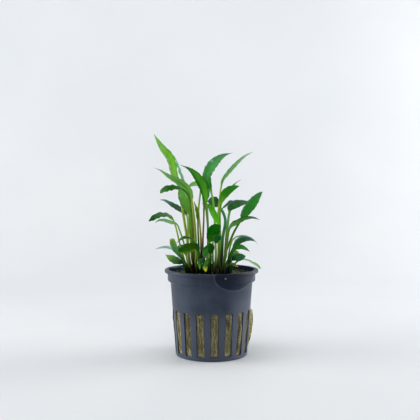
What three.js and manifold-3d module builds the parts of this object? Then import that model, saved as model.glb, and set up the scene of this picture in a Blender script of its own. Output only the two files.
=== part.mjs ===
// Potted cryptocoryne willisii: a slotted net pot, a plug of rockwool and eight small crowns with leaves.
// Millimetres, +Z up, the origin at the centre of the pot's base, the front of the plant towards -Y.
import * as THREE from "three";
import { mergeVertices } from "three/addons/utils/BufferGeometryUtils.js";
import Module from "manifold-3d";

const wasm = await Module();
wasm.setup();

// Driving sizes of the pot
const POT_HEIGHT = 50;
const LIP_RADIUS = 27.5;
const LIP_DEPTH = 1.8;
const COLLAR_RADIUS = 25.7;
const COLLAR_FOOT = 43.6;
const BODY_TOP_RADIUS = 24;
const BODY_TOP = 42.4;
const BASE_RADIUS = 21;
const BASE_ROUNDING = 0.8;
const WALL = 0.9;
const FLOOR = 1.2;
const POT_SIDES = 48;

// Slots of the pot
const SLOT_COUNT = 17;
const FIRST_SLOT_DEG = 4.5;
const SLOT_WIDTH = 4.7;
const SLOT_TOP = 27;
const SLOT_FOOT = 2.2;
const BASE_SLOT_COUNT = 8;
const BASE_SLOT_WIDTH = 3;
const BASE_SLOT_START = 8;
const BASE_SLOT_END = 17;

// Rockwool
const GAP = 0.3;
const WOOL_TOP = 46.6;
const WOOL_FOOT = FLOOR + GAP;
const WOOL_SIDES = 32;
const SWELL_MIDDLE = 18;
const SWELL_HALF_HEIGHT = 15;
const SWELL_CENTRE_RADIUS = 17;
const SWELL_HALF_WIDTH = 5;
// how far the wool stands out of each slot, in the order of the slots
const SWELLS = [0.2, 0.4, -0.2, -0.4, 2, 0.9, 0.3, 0.7, 0.4, 1, 0.6, 0.2, 0.8, -0.3, 0.1, -0.3, 0.3];

// Crowns and the feet of the leaves around them
const CROWN_RADIUS = 1.6;
const CROWN_FOOT = 43.4;
const CROWN_TIP = 50.4;
const CROWN_SIDES = 8;
const FOOT_RING = 2.7;
const FOOT_Z = WOOL_TOP + GAP;
const SHEATH = 2;

// Leaves: the eye that the leaf points are sighted from, and how finely a leaf is stepped
const EYE = new THREE.Vector3(-0.9, -400, 98.6);
const CURVE_PARTS = 400;
const STALK_STEPS = 6;
const BLADE_STEPS = 8;
const BLADE_HALF_THICKNESS = 0.26;
const BLADE_FOLD = 0.22;
const TIP_HALF_WIDTH = 0.14;
const STALK_RADIUS = 0.6;
const STALK_TIP_SHARE = 0.75;
const BLADE_RISE = 0.8;

const POT_MATERIAL = { color: 0x4a505e, roughness: 0.45, metalness: 0 };
const WOOL_MATERIAL = { color: 0x8a8150, roughness: 0.95, metalness: 0 };
const CROWN_MATERIAL = { color: 0x6b5a34, roughness: 0.7, metalness: 0 };
const LEAF_MATERIALS = {
  fresh: { color: 0x62aa2d, roughness: 0.4, metalness: 0 },
  green: { color: 0x32822a, roughness: 0.4, metalness: 0 },
  deep: { color: 0x1c5a1e, roughness: 0.4, metalness: 0 },
  teal: { color: 0x285a46, roughness: 0.4, metalness: 0 },
  pale: { color: 0x78a57d, roughness: 0.5, metalness: 0 },
};

// The plantlets. Each leaf has: around, the bearing of its foot about the crown in degrees from +X
// towards +Y; spine, its points from stalk to tip as [across, up, depth], where across and up are read in
// the upright plane through the pot's axis and depth is how far behind that plane the point lies; blade,
// the spine point (the foot is point 0) where the stalk becomes the blade; width, the blade's full width;
// widest, where along the blade that is; taper, how fast it narrows to the tip; and turn, the blade's
// roll about its midrib at its two ends.
// A leaf may also have stalk, its stalk's radius at the foot, and rise, how gently the blade widens.
const PLANTLETS = [
  {
    name: "left_back",
    at: [-11.8, 3.6],
    leaves: [
      // tall bright leaf leaning out to the upper left
      {
        green: "fresh", around: -95, blade: 6, width: 5, widest: 0.45, taper: 0.9, turn: [15, 25],
        stalk: 0.88, rise: 0.5,
        spine: [
          [-13.2, 56, 1.6], [-14.2, 67, 1.2], [-15.9, 78, 1.4], [-17.3, 87, 2.4], [-18.2, 94, 5],
          [-18.7, 99.3, 7], [-21.5, 105, 8], [-22.9, 112, 9], [-24.7, 116.3, 10], [-28.2, 120.4, 11],
          [-31.3, 125, 12], [-33.6, 128.9, 13],
        ],
      },
      // tall blue-green leaf seen on its edge
      {
        green: "teal", around: 60, blade: 5, width: 4.2, widest: 0.45, taper: 1, turn: [66, 72],
        spine: [
          [-10.2, 58, 7], [-10.3, 72, 9], [-11.5, 88, 11], [-12.8, 93, 12], [-14.6, 98.5, 13.5],
          [-16.9, 104, 15], [-18.8, 109.2, 16], [-20.5, 113.6, 17], [-22.2, 116.9, 18],
        ],
      },
      // broad leaf at the left
      {
        green: "green", around: -40, blade: 4, width: 6.1, widest: 0.5, taper: 0.9, turn: [-5, -15],
        stalk: 0.9, rise: 0.6,
        spine: [
          [-11.2, 56, -0.8], [-12, 66, -1.6], [-12.8, 76, -2.6], [-13.1, 82, -3.4], [-14.1, 86, -4],
          [-15.7, 90, -4.5], [-16.9, 94, -4.5], [-17.7, 97.5, -4], [-18.6, 100.5, -3],
        ],
      },
      // dark teal leaf that reaches straight out to the left
      {
        green: "teal", around: -140, blade: 4, width: 3.2, widest: 0.35, taper: 1, turn: [25, 30],
        spine: [
          [-13.9, 58, 3.8], [-13.7, 68, 4], [-13.9, 76, 4.4], [-14.3, 80.5, 4.8],
          [-15.5, 83.2, 5.4], [-18, 84.9, 6.4], [-21, 86.7, 8],
          [-24, 88.4, 9.3], [-27.2, 90.2, 10.7], [-30.3, 90.6, 12],
        ],
      },
      // pale leaf behind the low left arch
      {
        green: "pale", around: 135, blade: 4, width: 2.2, widest: 0.3, taper: 1, turn: [40, 50],
        spine: [
          [-14.8, 58, 6], [-16.6, 66.3, 7], [-18.7, 72.5, 8.5], [-20.4, 76.3, 9.5],
          [-23.5, 77.4, 11], [-28, 78.7, 13], [-31.5, 78.3, 15], [-33.2, 76.7, 16],
        ],
      },
      // pale low leaf
      {
        green: "pale", around: 180, blade: 3, width: 1.9, widest: 0.35, taper: 1, turn: [50, 55],
        spine: [
          [-15.3, 52, 4.5], [-17, 56.2, 6], [-19, 59.2, 7.5],
          [-22, 61.5, 9], [-25, 62.6, 11], [-28, 62.8, 12.5], [-33.3, 61.6, 15],
        ],
      },
      // leaf towards the back
      {
        green: "deep", around: 98, blade: 2, width: 5, widest: 0.45, taper: 1, turn: [10, 10],
        spine: [[-13.2, 54, 9], [-15.6, 59, 13], [-18, 62, 17], [-20, 62.5, 21], [-21.5, 60.5, 25]],
      },
    ],
  },
  {
    name: "left_front",
    at: [-12, -4.4],
    leaves: [
      // long arch with a reddish margin
      {
        green: "green", around: 5, blade: 4, width: 4.6, widest: 0.22, taper: 1.4, turn: [8, 15],
        stalk: 0.8, rise: 0.5,
        spine: [
          [-9, 56, -4.5], [-9.4, 70, -6], [-10.4, 82, -8], [-11.7, 90.5, -9.5],
          [-14.3, 96.9, -11], [-19.1, 101.2, -12.5], [-25, 104.5, -14],
          [-30, 107.9, -15.5], [-34, 109.4, -17],
        ],
      },
      // dark arch with a blunt tip
      {
        green: "deep", around: -45, blade: 5, width: 4.3, widest: 0.5, taper: 0.55, turn: [50, -12],
        stalk: 0.75,
        spine: [
          [-11.2, 60, -8], [-11.5, 75, -10.5], [-12.2, 85.5, -12.5], [-13.4, 92.9, -13.5],
          [-16.6, 96.5, -14.5], [-21, 98, -16], [-25, 97.7, -17.5], [-28.5, 96.4, -19], [-30.1, 94.4, -20],
        ],
      },
      // low left arch
      {
        green: "deep", around: 140, blade: 4, width: 4.5, widest: 0.7, taper: 0.8, turn: [60, -20],
        spine: [
          [-16.5, 57, -3.5], [-18.6, 64.5, -4.5], [-20.1, 71, -6], [-21.3, 75.7, -7],
          [-22.6, 79, -8.5], [-25, 81.4, -9.8], [-28.5, 82.1, -11.5], [-32.7, 81.2, -14], [-37, 78, -16.5],
        ],
      },
      // small dark arch near the rim
      {
        green: "deep", around: 95, blade: 2, width: 1.9, widest: 0.4, taper: 1, turn: [25, 30],
        spine: [
          [-14, 50.5, -1], [-16.5, 54.5, -0.5],
          [-17.6, 56.6, 0], [-18.8, 58.1, 0.5], [-20.1, 58.9, 1.2], [-21.3, 58.8, 2],
        ],
      },
      // leaf lying out over the rim
      {
        green: "green", around: 180, blade: 2, width: 2.4, widest: 0.45, taper: 1, turn: [60, 60],
        spine: [
          [-16, 50.2, -6], [-17.5, 50.9, -7],
          [-20, 51.3, -8.5], [-22.5, 51.2, -10], [-24.7, 50.9, -11.5], [-26.5, 50.3, -13],
        ],
      },
      // yellow-tipped leaf above the rim
      {
        green: "green", around: -140, blade: 2, width: 4.6, widest: 0.5, taper: 0.9, turn: [-10, -15],
        spine: [
          [-14.9, 50.6, -7], [-16.8, 53.1, -8.5],
          [-18.6, 54, -10.5], [-21.2, 55.2, -12.5], [-23.8, 56.6, -14.5], [-27, 58.3, -17],
        ],
      },
      // leaf whose tip curls over towards the front
      {
        green: "green", around: -95, blade: 2, width: 3.8, widest: 0.5, taper: 0.5, turn: [10, 0],
        spine: [
          [-13.8, 51, -10.5], [-16.6, 55.5, -14], [-19.2, 59, -16.5], [-21.1, 62, -18],
          [-22.4, 64.8, -19.2], [-22.9, 67.2, -20.6], [-22.8, 67.8, -22.6], [-22.6, 66.2, -23.8],
        ],
      },
    ],
  },
  {
    name: "middle_left",
    at: [-5.2, 1.6],
    leaves: [
      // large leaf across the middle, pointing up to the left
      {
        green: "green", around: -40, blade: 3, width: 5.2, widest: 0.43, taper: 1.8, turn: [-20, 25],
        stalk: 0.75, rise: 0.9,
        spine: [
          [-2.1, 60, -2], [-2.1, 74, -4.5], [-3.2, 87, -7],
          [-3.6, 92.8, -8], [-5.2, 99.2, -9.5], [-8.2, 104.2, -11],
          [-12.7, 108.6, -13], [-19.5, 111.4, -16],
        ],
      },
      // small bright leaf behind it
      {
        green: "fresh", around: 120, blade: 5, width: 2.7, widest: 0.6, taper: 0.7, turn: [30, 30],
        stalk: 0.7,
        spine: [
          [-6, 60, 4.2], [-6.5, 72, 5.6], [-7.6, 84, 8], [-6.9, 92, 10], [-6.4, 96.3, 11],
          [-6.6, 98.8, 12.7], [-8.3, 99.9, 13.5], [-11.2, 99.6, 15], [-13.8, 98, 16],
        ],
      },
      // narrow dark young leaf
      {
        green: "deep", around: 190, blade: 3, width: 2.6, widest: 0.45, taper: 1, turn: [45, 50],
        spine: [
          [-7.3, 58, 2], [-7.9, 72, 3], [-8, 78, 3.5],
          [-8.2, 82, 3.8], [-8.6, 85, 4], [-9.6, 88, 4.5], [-10.4, 90, 5],
        ],
      },
      // blue-green leaf on a brown stalk
      {
        green: "teal", around: 60, blade: 4, width: 4.4, widest: 0.45, taper: 1, turn: [30, 40],
        stalk: 0.65,
        spine: [
          [-5.2, 60, 7.2], [-4.9, 70, 8.5], [-4.5, 80, 9.5], [-4.4, 87, 10.5],
          [-2.9, 93, 11], [-2.1, 97, 12], [-1.7, 100, 13], [-1.4, 102.5, 14],
        ],
      },
    ],
  },
  {
    name: "front",
    at: [-3, -8],
    leaves: [
      // broad dark leaf in the middle
      {
        green: "deep", around: 75, blade: 3, width: 6.8, widest: 0.55, taper: 0.8, turn: [0, 0],
        rise: 0.7,
        spine: [
          [-1.7, 57, -8.5], [-1.7, 61.5, -9.5], [-1.3, 65.3, -10.5],
          [-0.2, 69, -12], [1, 72.2, -13.2], [2.8, 74.8, -14.8], [5.6, 75.7, -16.5],
        ],
      },
      // thin dark arch
      {
        green: "deep", around: 150, blade: 3, width: 2.3, widest: 0.5, taper: 1, turn: [95, 95],
        spine: [
          [-7.8, 55, -8], [-8.5, 62, -9.5], [-9.8, 66.3, -10.5],
          [-12.5, 68.3, -12], [-15.7, 68.7, -13.5], [-18.4, 67.3, -15], [-20.2, 65.2, -16],
        ],
      },
      // big dark hanging leaf
      {
        green: "deep", around: -170, blade: 2, width: 5.8, widest: 0.55, taper: 0.6, turn: [-15, -60],
        spine: [
          [-7.3, 55, -11], [-7.6, 60, -13],
          [-8.7, 62.7, -14.5], [-10.8, 63, -15.7], [-13.6, 62.3, -17],
          [-16.6, 61.4, -18.5], [-19.8, 60.2, -20],
        ],
      },
      // small leaf bent down, with a bright tip
      {
        green: "fresh", around: -125, blade: 2, width: 3, widest: 0.4, taper: 0.9, turn: [15, 60],
        spine: [
          [-4, 51, -12], [-4.2, 54, -13.5],
          [-5, 56, -15], [-6.2, 55.5, -16.2], [-6.9, 53, -17.3], [-6.8, 49.4, -18],
        ],
      },
      // small yellowing leaf bent down
      {
        green: "fresh", around: -85, blade: 2, width: 3.9, widest: 0.5, taper: 0.8, turn: [-30, 40],
        spine: [
          [-1.7, 51.5, -13], [-1.8, 54.6, -14.5],
          [-2.5, 55.7, -16], [-3.5, 54, -17.5], [-3.8, 51, -18.3], [-3.1, 48.2, -19],
        ],
      },
      // short drooping leaf
      {
        green: "green", around: -40, blade: 2, width: 5.8, widest: 0.5, taper: 0.8, turn: [0, -95],
        spine: [
          [-0.4, 54, -12], [-0.4, 58.5, -14],
          [-0.8, 61.7, -16], [-1.9, 62.6, -17.5], [-3.2, 61.4, -18.8],
          [-4.2, 59.4, -19.8], [-4.7, 56.9, -20.5],
        ],
      },
      // lime leaf that droops to the right
      {
        green: "fresh", around: 15, blade: 5, width: 3.5, widest: 0.6, taper: 0.6, turn: [-42, -60],
        spine: [
          [-0.9, 57, -6.8], [-1.5, 66, -7], [-2, 76, -8], [-2.3, 83, -10.5], [-2.5, 87.3, -12.5],
          [-1.9, 88, -14.2], [-0.8, 86.4, -15.7], [0.9, 83.2, -17], [2.7, 79.6, -18.2], [4.4, 75.9, -19],
        ],
      },
    ],
  },
  {
    name: "middle_right",
    at: [3.4, 1.4],
    leaves: [
      // big upper leaf
      {
        green: "green", around: -130, blade: 5, width: 6.2, widest: 0.5, taper: 1.6, turn: [25, -10],
        stalk: 0.75, rise: 0.9,
        spine: [
          [2.5, 56, 0.5], [2.2, 68, 2], [1.8, 80, 4], [0.9, 90, 5.5], [0, 94.5, 6.5], [-1.2, 99, 7.5],
          [-2.5, 104.5, 9], [-0.1, 110, 11], [3.3, 113.9, 13], [7.3, 116.6, 14.3], [12.6, 118.1, 16],
        ],
      },
      // slender leaf to the upper right
      {
        green: "fresh", around: 100, blade: 5, width: 2.6, widest: 0.45, taper: 1, turn: [20, 20],
        stalk: 0.7,
        spine: [
          [4, 56, 5], [4.1, 66, 6], [3.8, 79, 7.5], [4.9, 92, 9.5], [5.7, 98, 10.5], [6.6, 102, 11],
          [9.4, 105.9, 12], [14.3, 111.4, 13.5], [19.5, 116.1, 15], [24.4, 118.7, 16.5],
        ],
      },
      // leaf pointing right at two thirds of the height
      {
        green: "green", around: -50, blade: 4, width: 4.9, widest: 0.5, taper: 0.9, turn: [-15, 10],
        stalk: 0.7, rise: 1.1,
        spine: [
          [4.7, 58, -1.5], [4.9, 72, -3], [5, 83, -4.8], [5.2, 86.5, -5.3],
          [6.3, 91.6, -6.5], [9.2, 95.7, -8.5], [12.8, 97.8, -10.5], [16.4, 98.7, -12.5],
        ],
      },
      // thin twisted leaf behind it
      {
        green: "pale", around: -5, blade: 4, width: 2.4, widest: 0.45, taper: 1, turn: [40, 60],
        spine: [
          [5.3, 58, 1], [5.2, 72, 1], [5, 84, 2], [6.6, 90.5, 3],
          [9.5, 95, 4.5], [12.5, 98.5, 6], [14.5, 100.6, 7.5], [17.1, 102.3, 9],
        ],
      },
      // teal leaf that bends back to the left
      {
        green: "teal", around: 40, blade: 6, width: 6.5, widest: 0.4, taper: 1, turn: [20, 30],
        stalk: 1.05,
        spine: [
          [6, 58, 4], [6.6, 68, 5.5], [7.9, 75.5, 7], [8.1, 79, 8], [6.6, 83.5, 9.3], [4.4, 86.6, 10.5],
          [2.6, 88.6, 12], [0.6, 89.8, 14], [-2.6, 89.8, 16.5],
        ],
      },
    ],
  },
  {
    name: "right_back",
    at: [9, 4],
    leaves: [
      // dark arch to the right
      {
        green: "teal", around: -125, blade: 4, width: 4.8, widest: 0.35, taper: 1, turn: [15, 20],
        spine: [
          [7.7, 57, 1.5], [8.6, 69.5, 1], [9.8, 80, 0.5], [10.3, 83.3, 0], [11.2, 86, -0.5],
          [13.5, 87.8, -1.5], [16.8, 88.7, -3], [19.8, 89.2, -4.5], [22.5, 89.6, -6],
        ],
      },
      // leaf behind it that points back to the left
      {
        green: "teal", around: 155, blade: 4, width: 2.4, widest: 0.45, taper: 1, turn: [30, 40],
        spine: [
          [8.6, 58, 6.5], [9.5, 72, 6.5], [10.3, 81, 6], [11.6, 86, 6],
          [12.6, 88.8, 6.5], [11.2, 89.2, 7.5], [9, 87.6, 9], [7, 86, 10], [5.6, 84.8, 11],
        ],
      },
      // pale leaf at mid height
      {
        green: "pale", around: 60, blade: 3, width: 2.2, widest: 0.45, taper: 1, turn: [45, 50],
        spine: [
          [10, 57, 7.5], [11.6, 65.2, 9], [12.7, 67.4, 10],
          [15, 68.9, 11.5], [19.5, 69.5, 14], [23.5, 68, 16.5], [27, 64.9, 19],
        ],
      },
      // thin leaf over the right rim
      {
        green: "pale", around: 5, blade: 2, width: 1.6, widest: 0.8, taper: 0.6, turn: [20, -25], rise: 1.2,
        spine: [
          [12.6, 51.5, 5], [15.5, 54.6, 6],
          [18.5, 55.6, 7.5], [21.5, 55, 9], [24.3, 53.5, 10.5], [26.9, 52.1, 12], [28.9, 49.9, 12.8],
        ],
      },
      // small leaf with a golden tip
      {
        green: "green", around: -55, blade: 2, width: 1.6, widest: 0.45, taper: 1, turn: [50, 40],
        spine: [[11.2, 56.5, 1.5], [12, 59.2, 1.2], [13.5, 60.2, 1], [15.2, 59.6, 0.5], [17, 58.4, 0]],
      },
      // leaf towards the back
      {
        green: "green", around: 110, blade: 2, width: 4.4, widest: 0.45, taper: 1, turn: [-10, -10],
        spine: [[8.4, 52.5, 10], [10.5, 56.5, 14], [13.5, 58.3, 18], [16.5, 57.5, 23], [18.5, 55, 27]],
      },
    ],
  },
  {
    name: "right_front",
    at: [7.6, -5.6],
    leaves: [
      // big leaf to the right
      {
        green: "green", around: 100, blade: 5, width: 5.7, widest: 0.45, taper: 0.8, turn: [-10, 15],
        stalk: 0.75, rise: 0.35,
        spine: [
          [7.8, 57.5, -3.5], [10.2, 64.5, -4.5], [13.4, 72, -6], [16.3, 77, -7.5], [17.9, 79.8, -8],
          [20.2, 83.7, -9], [24, 88.7, -11], [27.6, 93.2, -13], [29.9, 95.4, -14.5],
        ],
      },
      // thin leaf below it
      {
        green: "green", around: -115, blade: 3, width: 2.7, widest: 0.25, taper: 1, turn: [30, 50],
        stalk: 0.75,
        spine: [
          [7.9, 57, -9], [9.2, 66, -10.5], [10.6, 73.6, -12],
          [12.3, 76, -13], [15.4, 77.6, -14.5], [19.7, 79.7, -16.5], [24.5, 80.1, -19], [28.4, 78.8, -21],
        ],
      },
      // small dark leaf bent over in front
      {
        green: "deep", around: 165, blade: 3, width: 4.6, widest: 0.5, taper: 0.8, turn: [15, 55],
        spine: [
          [4.2, 56, -8], [4.9, 65.5, -12], [4.9, 68.8, -14],
          [4.3, 70, -16], [3.5, 69, -17.5], [2.9, 67, -18.5], [2.5, 64.7, -19.5],
        ],
      },
      // teal leaf at mid height
      {
        green: "teal", around: 50, blade: 2, width: 3.9, widest: 0.45, taper: 1, turn: [30, 35],
        spine: [
          [10.3, 56, -5], [12.6, 62.2, -7],
          [14.5, 65, -8.5], [18.5, 67.6, -11], [22.5, 67.7, -13.5], [25.5, 66.2, -15.5],
        ],
      },
      // broad dark leaf above the rim
      {
        green: "deep", around: 10, blade: 2, width: 5, widest: 0.45, taper: 0.6, turn: [20, 20],
        spine: [[10.7, 52, -6], [12, 55, -7.3], [14.3, 56.8, -9], [17, 57.3, -11], [20, 57.6, -13.5]],
      },
      // narrow leaf between the two
      {
        green: "green", around: -30, blade: 2, width: 2.8, widest: 0.4, taper: 1, turn: [30, 45],
        spine: [
          [11, 55.5, -10.5], [12.8, 60.5, -13],
          [14.4, 62.4, -14], [16.8, 63.1, -15.5], [19.8, 62.1, -17.5], [22.6, 60.1, -19],
        ],
      },
      // little leaf with a yellow tip
      {
        green: "fresh", around: -70, blade: 2, width: 2, widest: 0.5, taper: 0.9, turn: [40, 40],
        spine: [
          [8.9, 50.5, -10], [10.3, 52.4, -12],
          [12, 52.9, -13.5], [13.8, 52.4, -15], [15.8, 51, -16.5],
        ],
      },
    ],
  },
  {
    name: "back",
    at: [-1.5, 10],
    leaves: [
      // leaf that stands up behind the middle one
      {
        green: "green", around: -150, blade: 3, width: 3.4, widest: 0.45, taper: 1, turn: [0, 10],
        spine: [
          [-4.9, 60, 12], [-4.9, 72, 14.5], [-4.3, 84, 17.5],
          [-3.9, 93, 20], [-5.4, 100.5, 23], [-8.3, 105, 26],
        ],
      },
      // leaf that arches over the back rim
      {
        green: "green", around: 20, blade: 3, width: 4.5, widest: 0.45, taper: 1, turn: [0, 0],
        spine: [
          [0.8, 58, 13], [1, 68, 16.5], [1.6, 73, 20],
          [2.4, 75, 24], [3, 72.5, 29], [3.2, 68, 33],
        ],
      },
      // lower leaf to the back left
      {
        green: "deep", around: 150, blade: 2, width: 4.6, widest: 0.5, taper: 1, turn: [0, 0],
        spine: [[-6, 56, 14], [-8.5, 61.5, 17], [-11, 63.5, 20], [-13.5, 62.5, 23.5], [-15.5, 59.5, 27]],
      },
      // low leaf straight back
      {
        green: "teal", around: 85, blade: 2, width: 4.2, widest: 0.5, taper: 1, turn: [0, 0],
        spine: [[-2.2, 55, 16], [-3, 59, 20], [-3.6, 60.5, 24], [-4, 58.5, 29], [-4.2, 54.5, 33]],
      },
    ],
  },
];

const radians = THREE.MathUtils.degToRad;

// Drops all but the positions and merges shared corners, so that the shell is one closed surface.
function closed(geometry) {
  const bare = geometry.clone();
  bare.deleteAttribute("normal");
  bare.deleteAttribute("uv");
  return mergeVertices(bare, 1e-4);
}

// The manifold solid of a closed geometry
function solid(geometry) {
  const shell = closed(geometry);
  return new wasm.Manifold(
    new wasm.Mesh({
      numProp: 3,
      vertProperties: shell.attributes.position.array,
      triVerts: new Uint32Array(shell.index.array),
    }),
  );
}

// The geometry of a manifold solid
function geometryOf(body) {
  const mesh = body.getMesh();
  const geometry = new THREE.BufferGeometry();
  geometry.setAttribute("position", new THREE.BufferAttribute(mesh.vertProperties, mesh.numProp));
  geometry.setIndex(new THREE.BufferAttribute(mesh.triVerts, 1));
  geometry.computeVertexNormals();
  return geometry;
}

// A body turned from a profile of [radius, height] points that starts and ends on the axis
function turned(profile, sides) {
  const points = profile.map(([radius, height]) => new THREE.Vector2(radius, height));
  return new THREE.LatheGeometry(points, sides).rotateX(Math.PI / 2);
}

// A box that stands out from the axis at a bearing counted from the front towards +X
function spoke(bearing, width, near, far, foot, top) {
  return new THREE.BoxGeometry(width, far - near, top - foot)
    .translate(0, -(near + far) / 2, (foot + top) / 2)
    .rotateZ(bearing);
}

function slotBearing(index) {
  return radians(FIRST_SLOT_DEG + (360 / SLOT_COUNT) * index);
}

// The outer radius of the tapering body at a height
function bodyRadius(height) {
  return BASE_RADIUS + ((BODY_TOP_RADIUS - BASE_RADIUS) * height) / BODY_TOP;
}

function potGeometry() {
  const lipFoot = POT_HEIGHT - LIP_DEPTH;
  const shell = turned(
    [
      [0, 0],
      [BASE_RADIUS - BASE_ROUNDING, 0],
      [bodyRadius(BASE_ROUNDING), BASE_ROUNDING],
      [BODY_TOP_RADIUS, BODY_TOP],
      [COLLAR_RADIUS, COLLAR_FOOT],
      [COLLAR_RADIUS, lipFoot],
      [LIP_RADIUS - 0.5, lipFoot],
      [LIP_RADIUS, lipFoot + 0.5],
      [LIP_RADIUS, POT_HEIGHT - 0.5],
      [LIP_RADIUS - 0.5, POT_HEIGHT],
      [COLLAR_RADIUS - WALL, POT_HEIGHT],
      [COLLAR_RADIUS - WALL, COLLAR_FOOT],
      [BODY_TOP_RADIUS - WALL, BODY_TOP],
      [bodyRadius(FLOOR) - WALL, FLOOR],
      [0, FLOOR],
    ],
    POT_SIDES,
  );
  let pot = solid(shell);
  for (let index = 0; index < SLOT_COUNT; index += 1) {
    const cut = spoke(slotBearing(index), SLOT_WIDTH, BASE_RADIUS - 4, LIP_RADIUS, SLOT_FOOT, SLOT_TOP);
    pot = pot.subtract(solid(cut));
  }
  for (let index = 0; index < BASE_SLOT_COUNT; index += 1) {
    const bearing = radians((360 / BASE_SLOT_COUNT) * index);
    const cut = spoke(bearing, BASE_SLOT_WIDTH, BASE_SLOT_START, BASE_SLOT_END, -1, FLOOR + 0.1);
    pot = pot.subtract(solid(cut));
  }
  return geometryOf(pot);
}

// The part of a swollen lump of wool that fits through one slot
function swell(index) {
  const reach = bodyRadius(SWELL_MIDDLE) + SWELLS[index] - SWELL_CENTRE_RADIUS;
  const lump = new THREE.SphereGeometry(1, 8, 5)
    .rotateX(Math.PI / 2)
    .scale(SWELL_HALF_WIDTH, reach, SWELL_HALF_HEIGHT)
    .translate(0, -SWELL_CENTRE_RADIUS, SWELL_MIDDLE)
    .rotateZ(slotBearing(index));
  const way = spoke(
    slotBearing(index), SLOT_WIDTH - 2 * GAP, BASE_RADIUS - 6, LIP_RADIUS, SLOT_FOOT + GAP, SLOT_TOP - GAP,
  );
  return solid(lump).intersect(solid(way));
}

function crownProfile(extra) {
  return [
    [0, CROWN_FOOT - extra],
    [CROWN_RADIUS * 0.7 + extra, CROWN_FOOT + 0.8],
    [CROWN_RADIUS + extra, WOOL_TOP - 0.6],
    [CROWN_RADIUS + extra, WOOL_TOP + 1],
    [CROWN_RADIUS * 0.45 + extra, CROWN_TIP - 1],
    [0, CROWN_TIP + extra],
  ];
}

function woolGeometry() {
  const inset = WALL + GAP;
  let wool = solid(
    turned(
      [
        [0, WOOL_FOOT],
        [bodyRadius(WOOL_FOOT) - inset, WOOL_FOOT],
        [BODY_TOP_RADIUS - inset, BODY_TOP],
        [BODY_TOP_RADIUS - inset, WOOL_TOP - 1.6],
        [BODY_TOP_RADIUS - inset - 1.6, WOOL_TOP],
        [0, WOOL_TOP],
      ],
      WOOL_SIDES,
    ),
  );
  for (let index = 0; index < SLOT_COUNT; index += 1) {
    wool = wool.add(swell(index));
  }
  for (const plantlet of PLANTLETS) {
    const pit = turned(crownProfile(GAP), CROWN_SIDES).translate(plantlet.at[0], plantlet.at[1], 0);
    wool = wool.subtract(solid(pit));
  }
  return geometryOf(wool);
}

// The point at a given depth that is sighted at [across, up] in the upright plane through the axis
function sighted([across, up, depth]) {
  const onPlane = new THREE.Vector3(across, 0, up);
  const reach = 1 - depth / EYE.y;
  return onPlane.sub(EYE).multiplyScalar(reach).add(EYE);
}

function footOf(plantlet, leaf) {
  const bearing = radians(leaf.around);
  const x = plantlet.at[0] + FOOT_RING * Math.cos(bearing);
  const y = plantlet.at[1] + FOOT_RING * Math.sin(bearing);
  return new THREE.Vector3(x, y, FOOT_Z);
}

// The blade's half width at a share of its length
function bladeHalfWidth(leaf, share) {
  const rising = share < leaf.widest;
  const angle = rising ? share / leaf.widest : (share - leaf.widest) / (1 - leaf.widest);
  const quarter = (angle * Math.PI) / 2;
  const rise = leaf.rise ?? BLADE_RISE;
  const profile = rising ? Math.sin(quarter) ** rise : Math.cos(quarter) ** leaf.taper;
  return (leaf.width / 2) * profile;
}

// One leaf: a capped four-sided tube drawn out along the spine, round in the stalk, a folded blade above
function leafGeometry(plantlet, leaf) {
  const foot = footOf(plantlet, leaf);
  const sheath = foot.clone().setZ(FOOT_Z + SHEATH);
  const curve = new THREE.CatmullRomCurve3([foot, sheath, ...leaf.spine.map(sighted)]);
  const lengths = curve.getLengths(CURVE_PARTS);
  const bladePart = Math.round((CURVE_PARTS * (leaf.blade + 1)) / (leaf.spine.length + 1));
  const bladeStart = lengths[bladePart] / lengths[CURVE_PARTS];
  const steps = STALK_STEPS + BLADE_STEPS;
  const across = new THREE.Vector3(1, 0, 0);
  const rings = [];
  for (let step = 0; step <= steps; step += 1) {
    const bladeShare = Math.max(0, (step - STALK_STEPS) / BLADE_STEPS);
    const stalkShare = Math.min(1, step / STALK_STEPS);
    const at = Math.min(1, bladeStart * stalkShare + (1 - bladeStart) * bladeShare);
    const along = curve.getTangentAt(at);
    across.addScaledVector(along, -across.dot(along)).normalize();
    const turn = radians(THREE.MathUtils.lerp(leaf.turn[0], leaf.turn[1], bladeShare));
    const side = across.clone().applyAxisAngle(along, -turn);
    const stalk = (leaf.stalk ?? STALK_RADIUS) * THREE.MathUtils.lerp(1, STALK_TIP_SHARE, stalkShare);
    const blade = bladeShare > 0 ? bladeHalfWidth(leaf, bladeShare) : 0;
    rings.push({
      centre: curve.getPointAt(at),
      side,
      face: side.clone().cross(along),
      halfWidth: Math.max(bladeShare > 0 ? TIP_HALF_WIDTH : stalk, blade),
      halfThickness: bladeShare > 0 ? Math.min(BLADE_HALF_THICKNESS, 2 * Math.max(blade, 0.1)) : stalk,
      fold: bladeShare > 0 ? BLADE_FOLD : 0,
    });
  }
  const tube = closed(new THREE.CylinderGeometry(1, 1, 1, 4, steps));
  const position = tube.attributes.position;
  const point = new THREE.Vector3();
  for (let index = 0; index < position.count; index += 1) {
    point.fromBufferAttribute(position, index);
    const ring = rings[Math.round((point.y + 0.5) * steps)];
    const out = point.x * ring.halfWidth;
    const lift = point.z * ring.halfThickness + Math.abs(out) * ring.fold;
    point.copy(ring.centre).addScaledVector(ring.side, out).addScaledVector(ring.face, lift);
    position.setXYZ(index, point.x, point.y, point.z);
  }
  tube.computeVertexNormals();
  return tube;
}

// One named mesh with a material of its own
function piece(name, geometry, finish) {
  const mesh = new THREE.Mesh(geometry, new THREE.MeshStandardMaterial(finish));
  mesh.name = name;
  return mesh;
}

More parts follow.
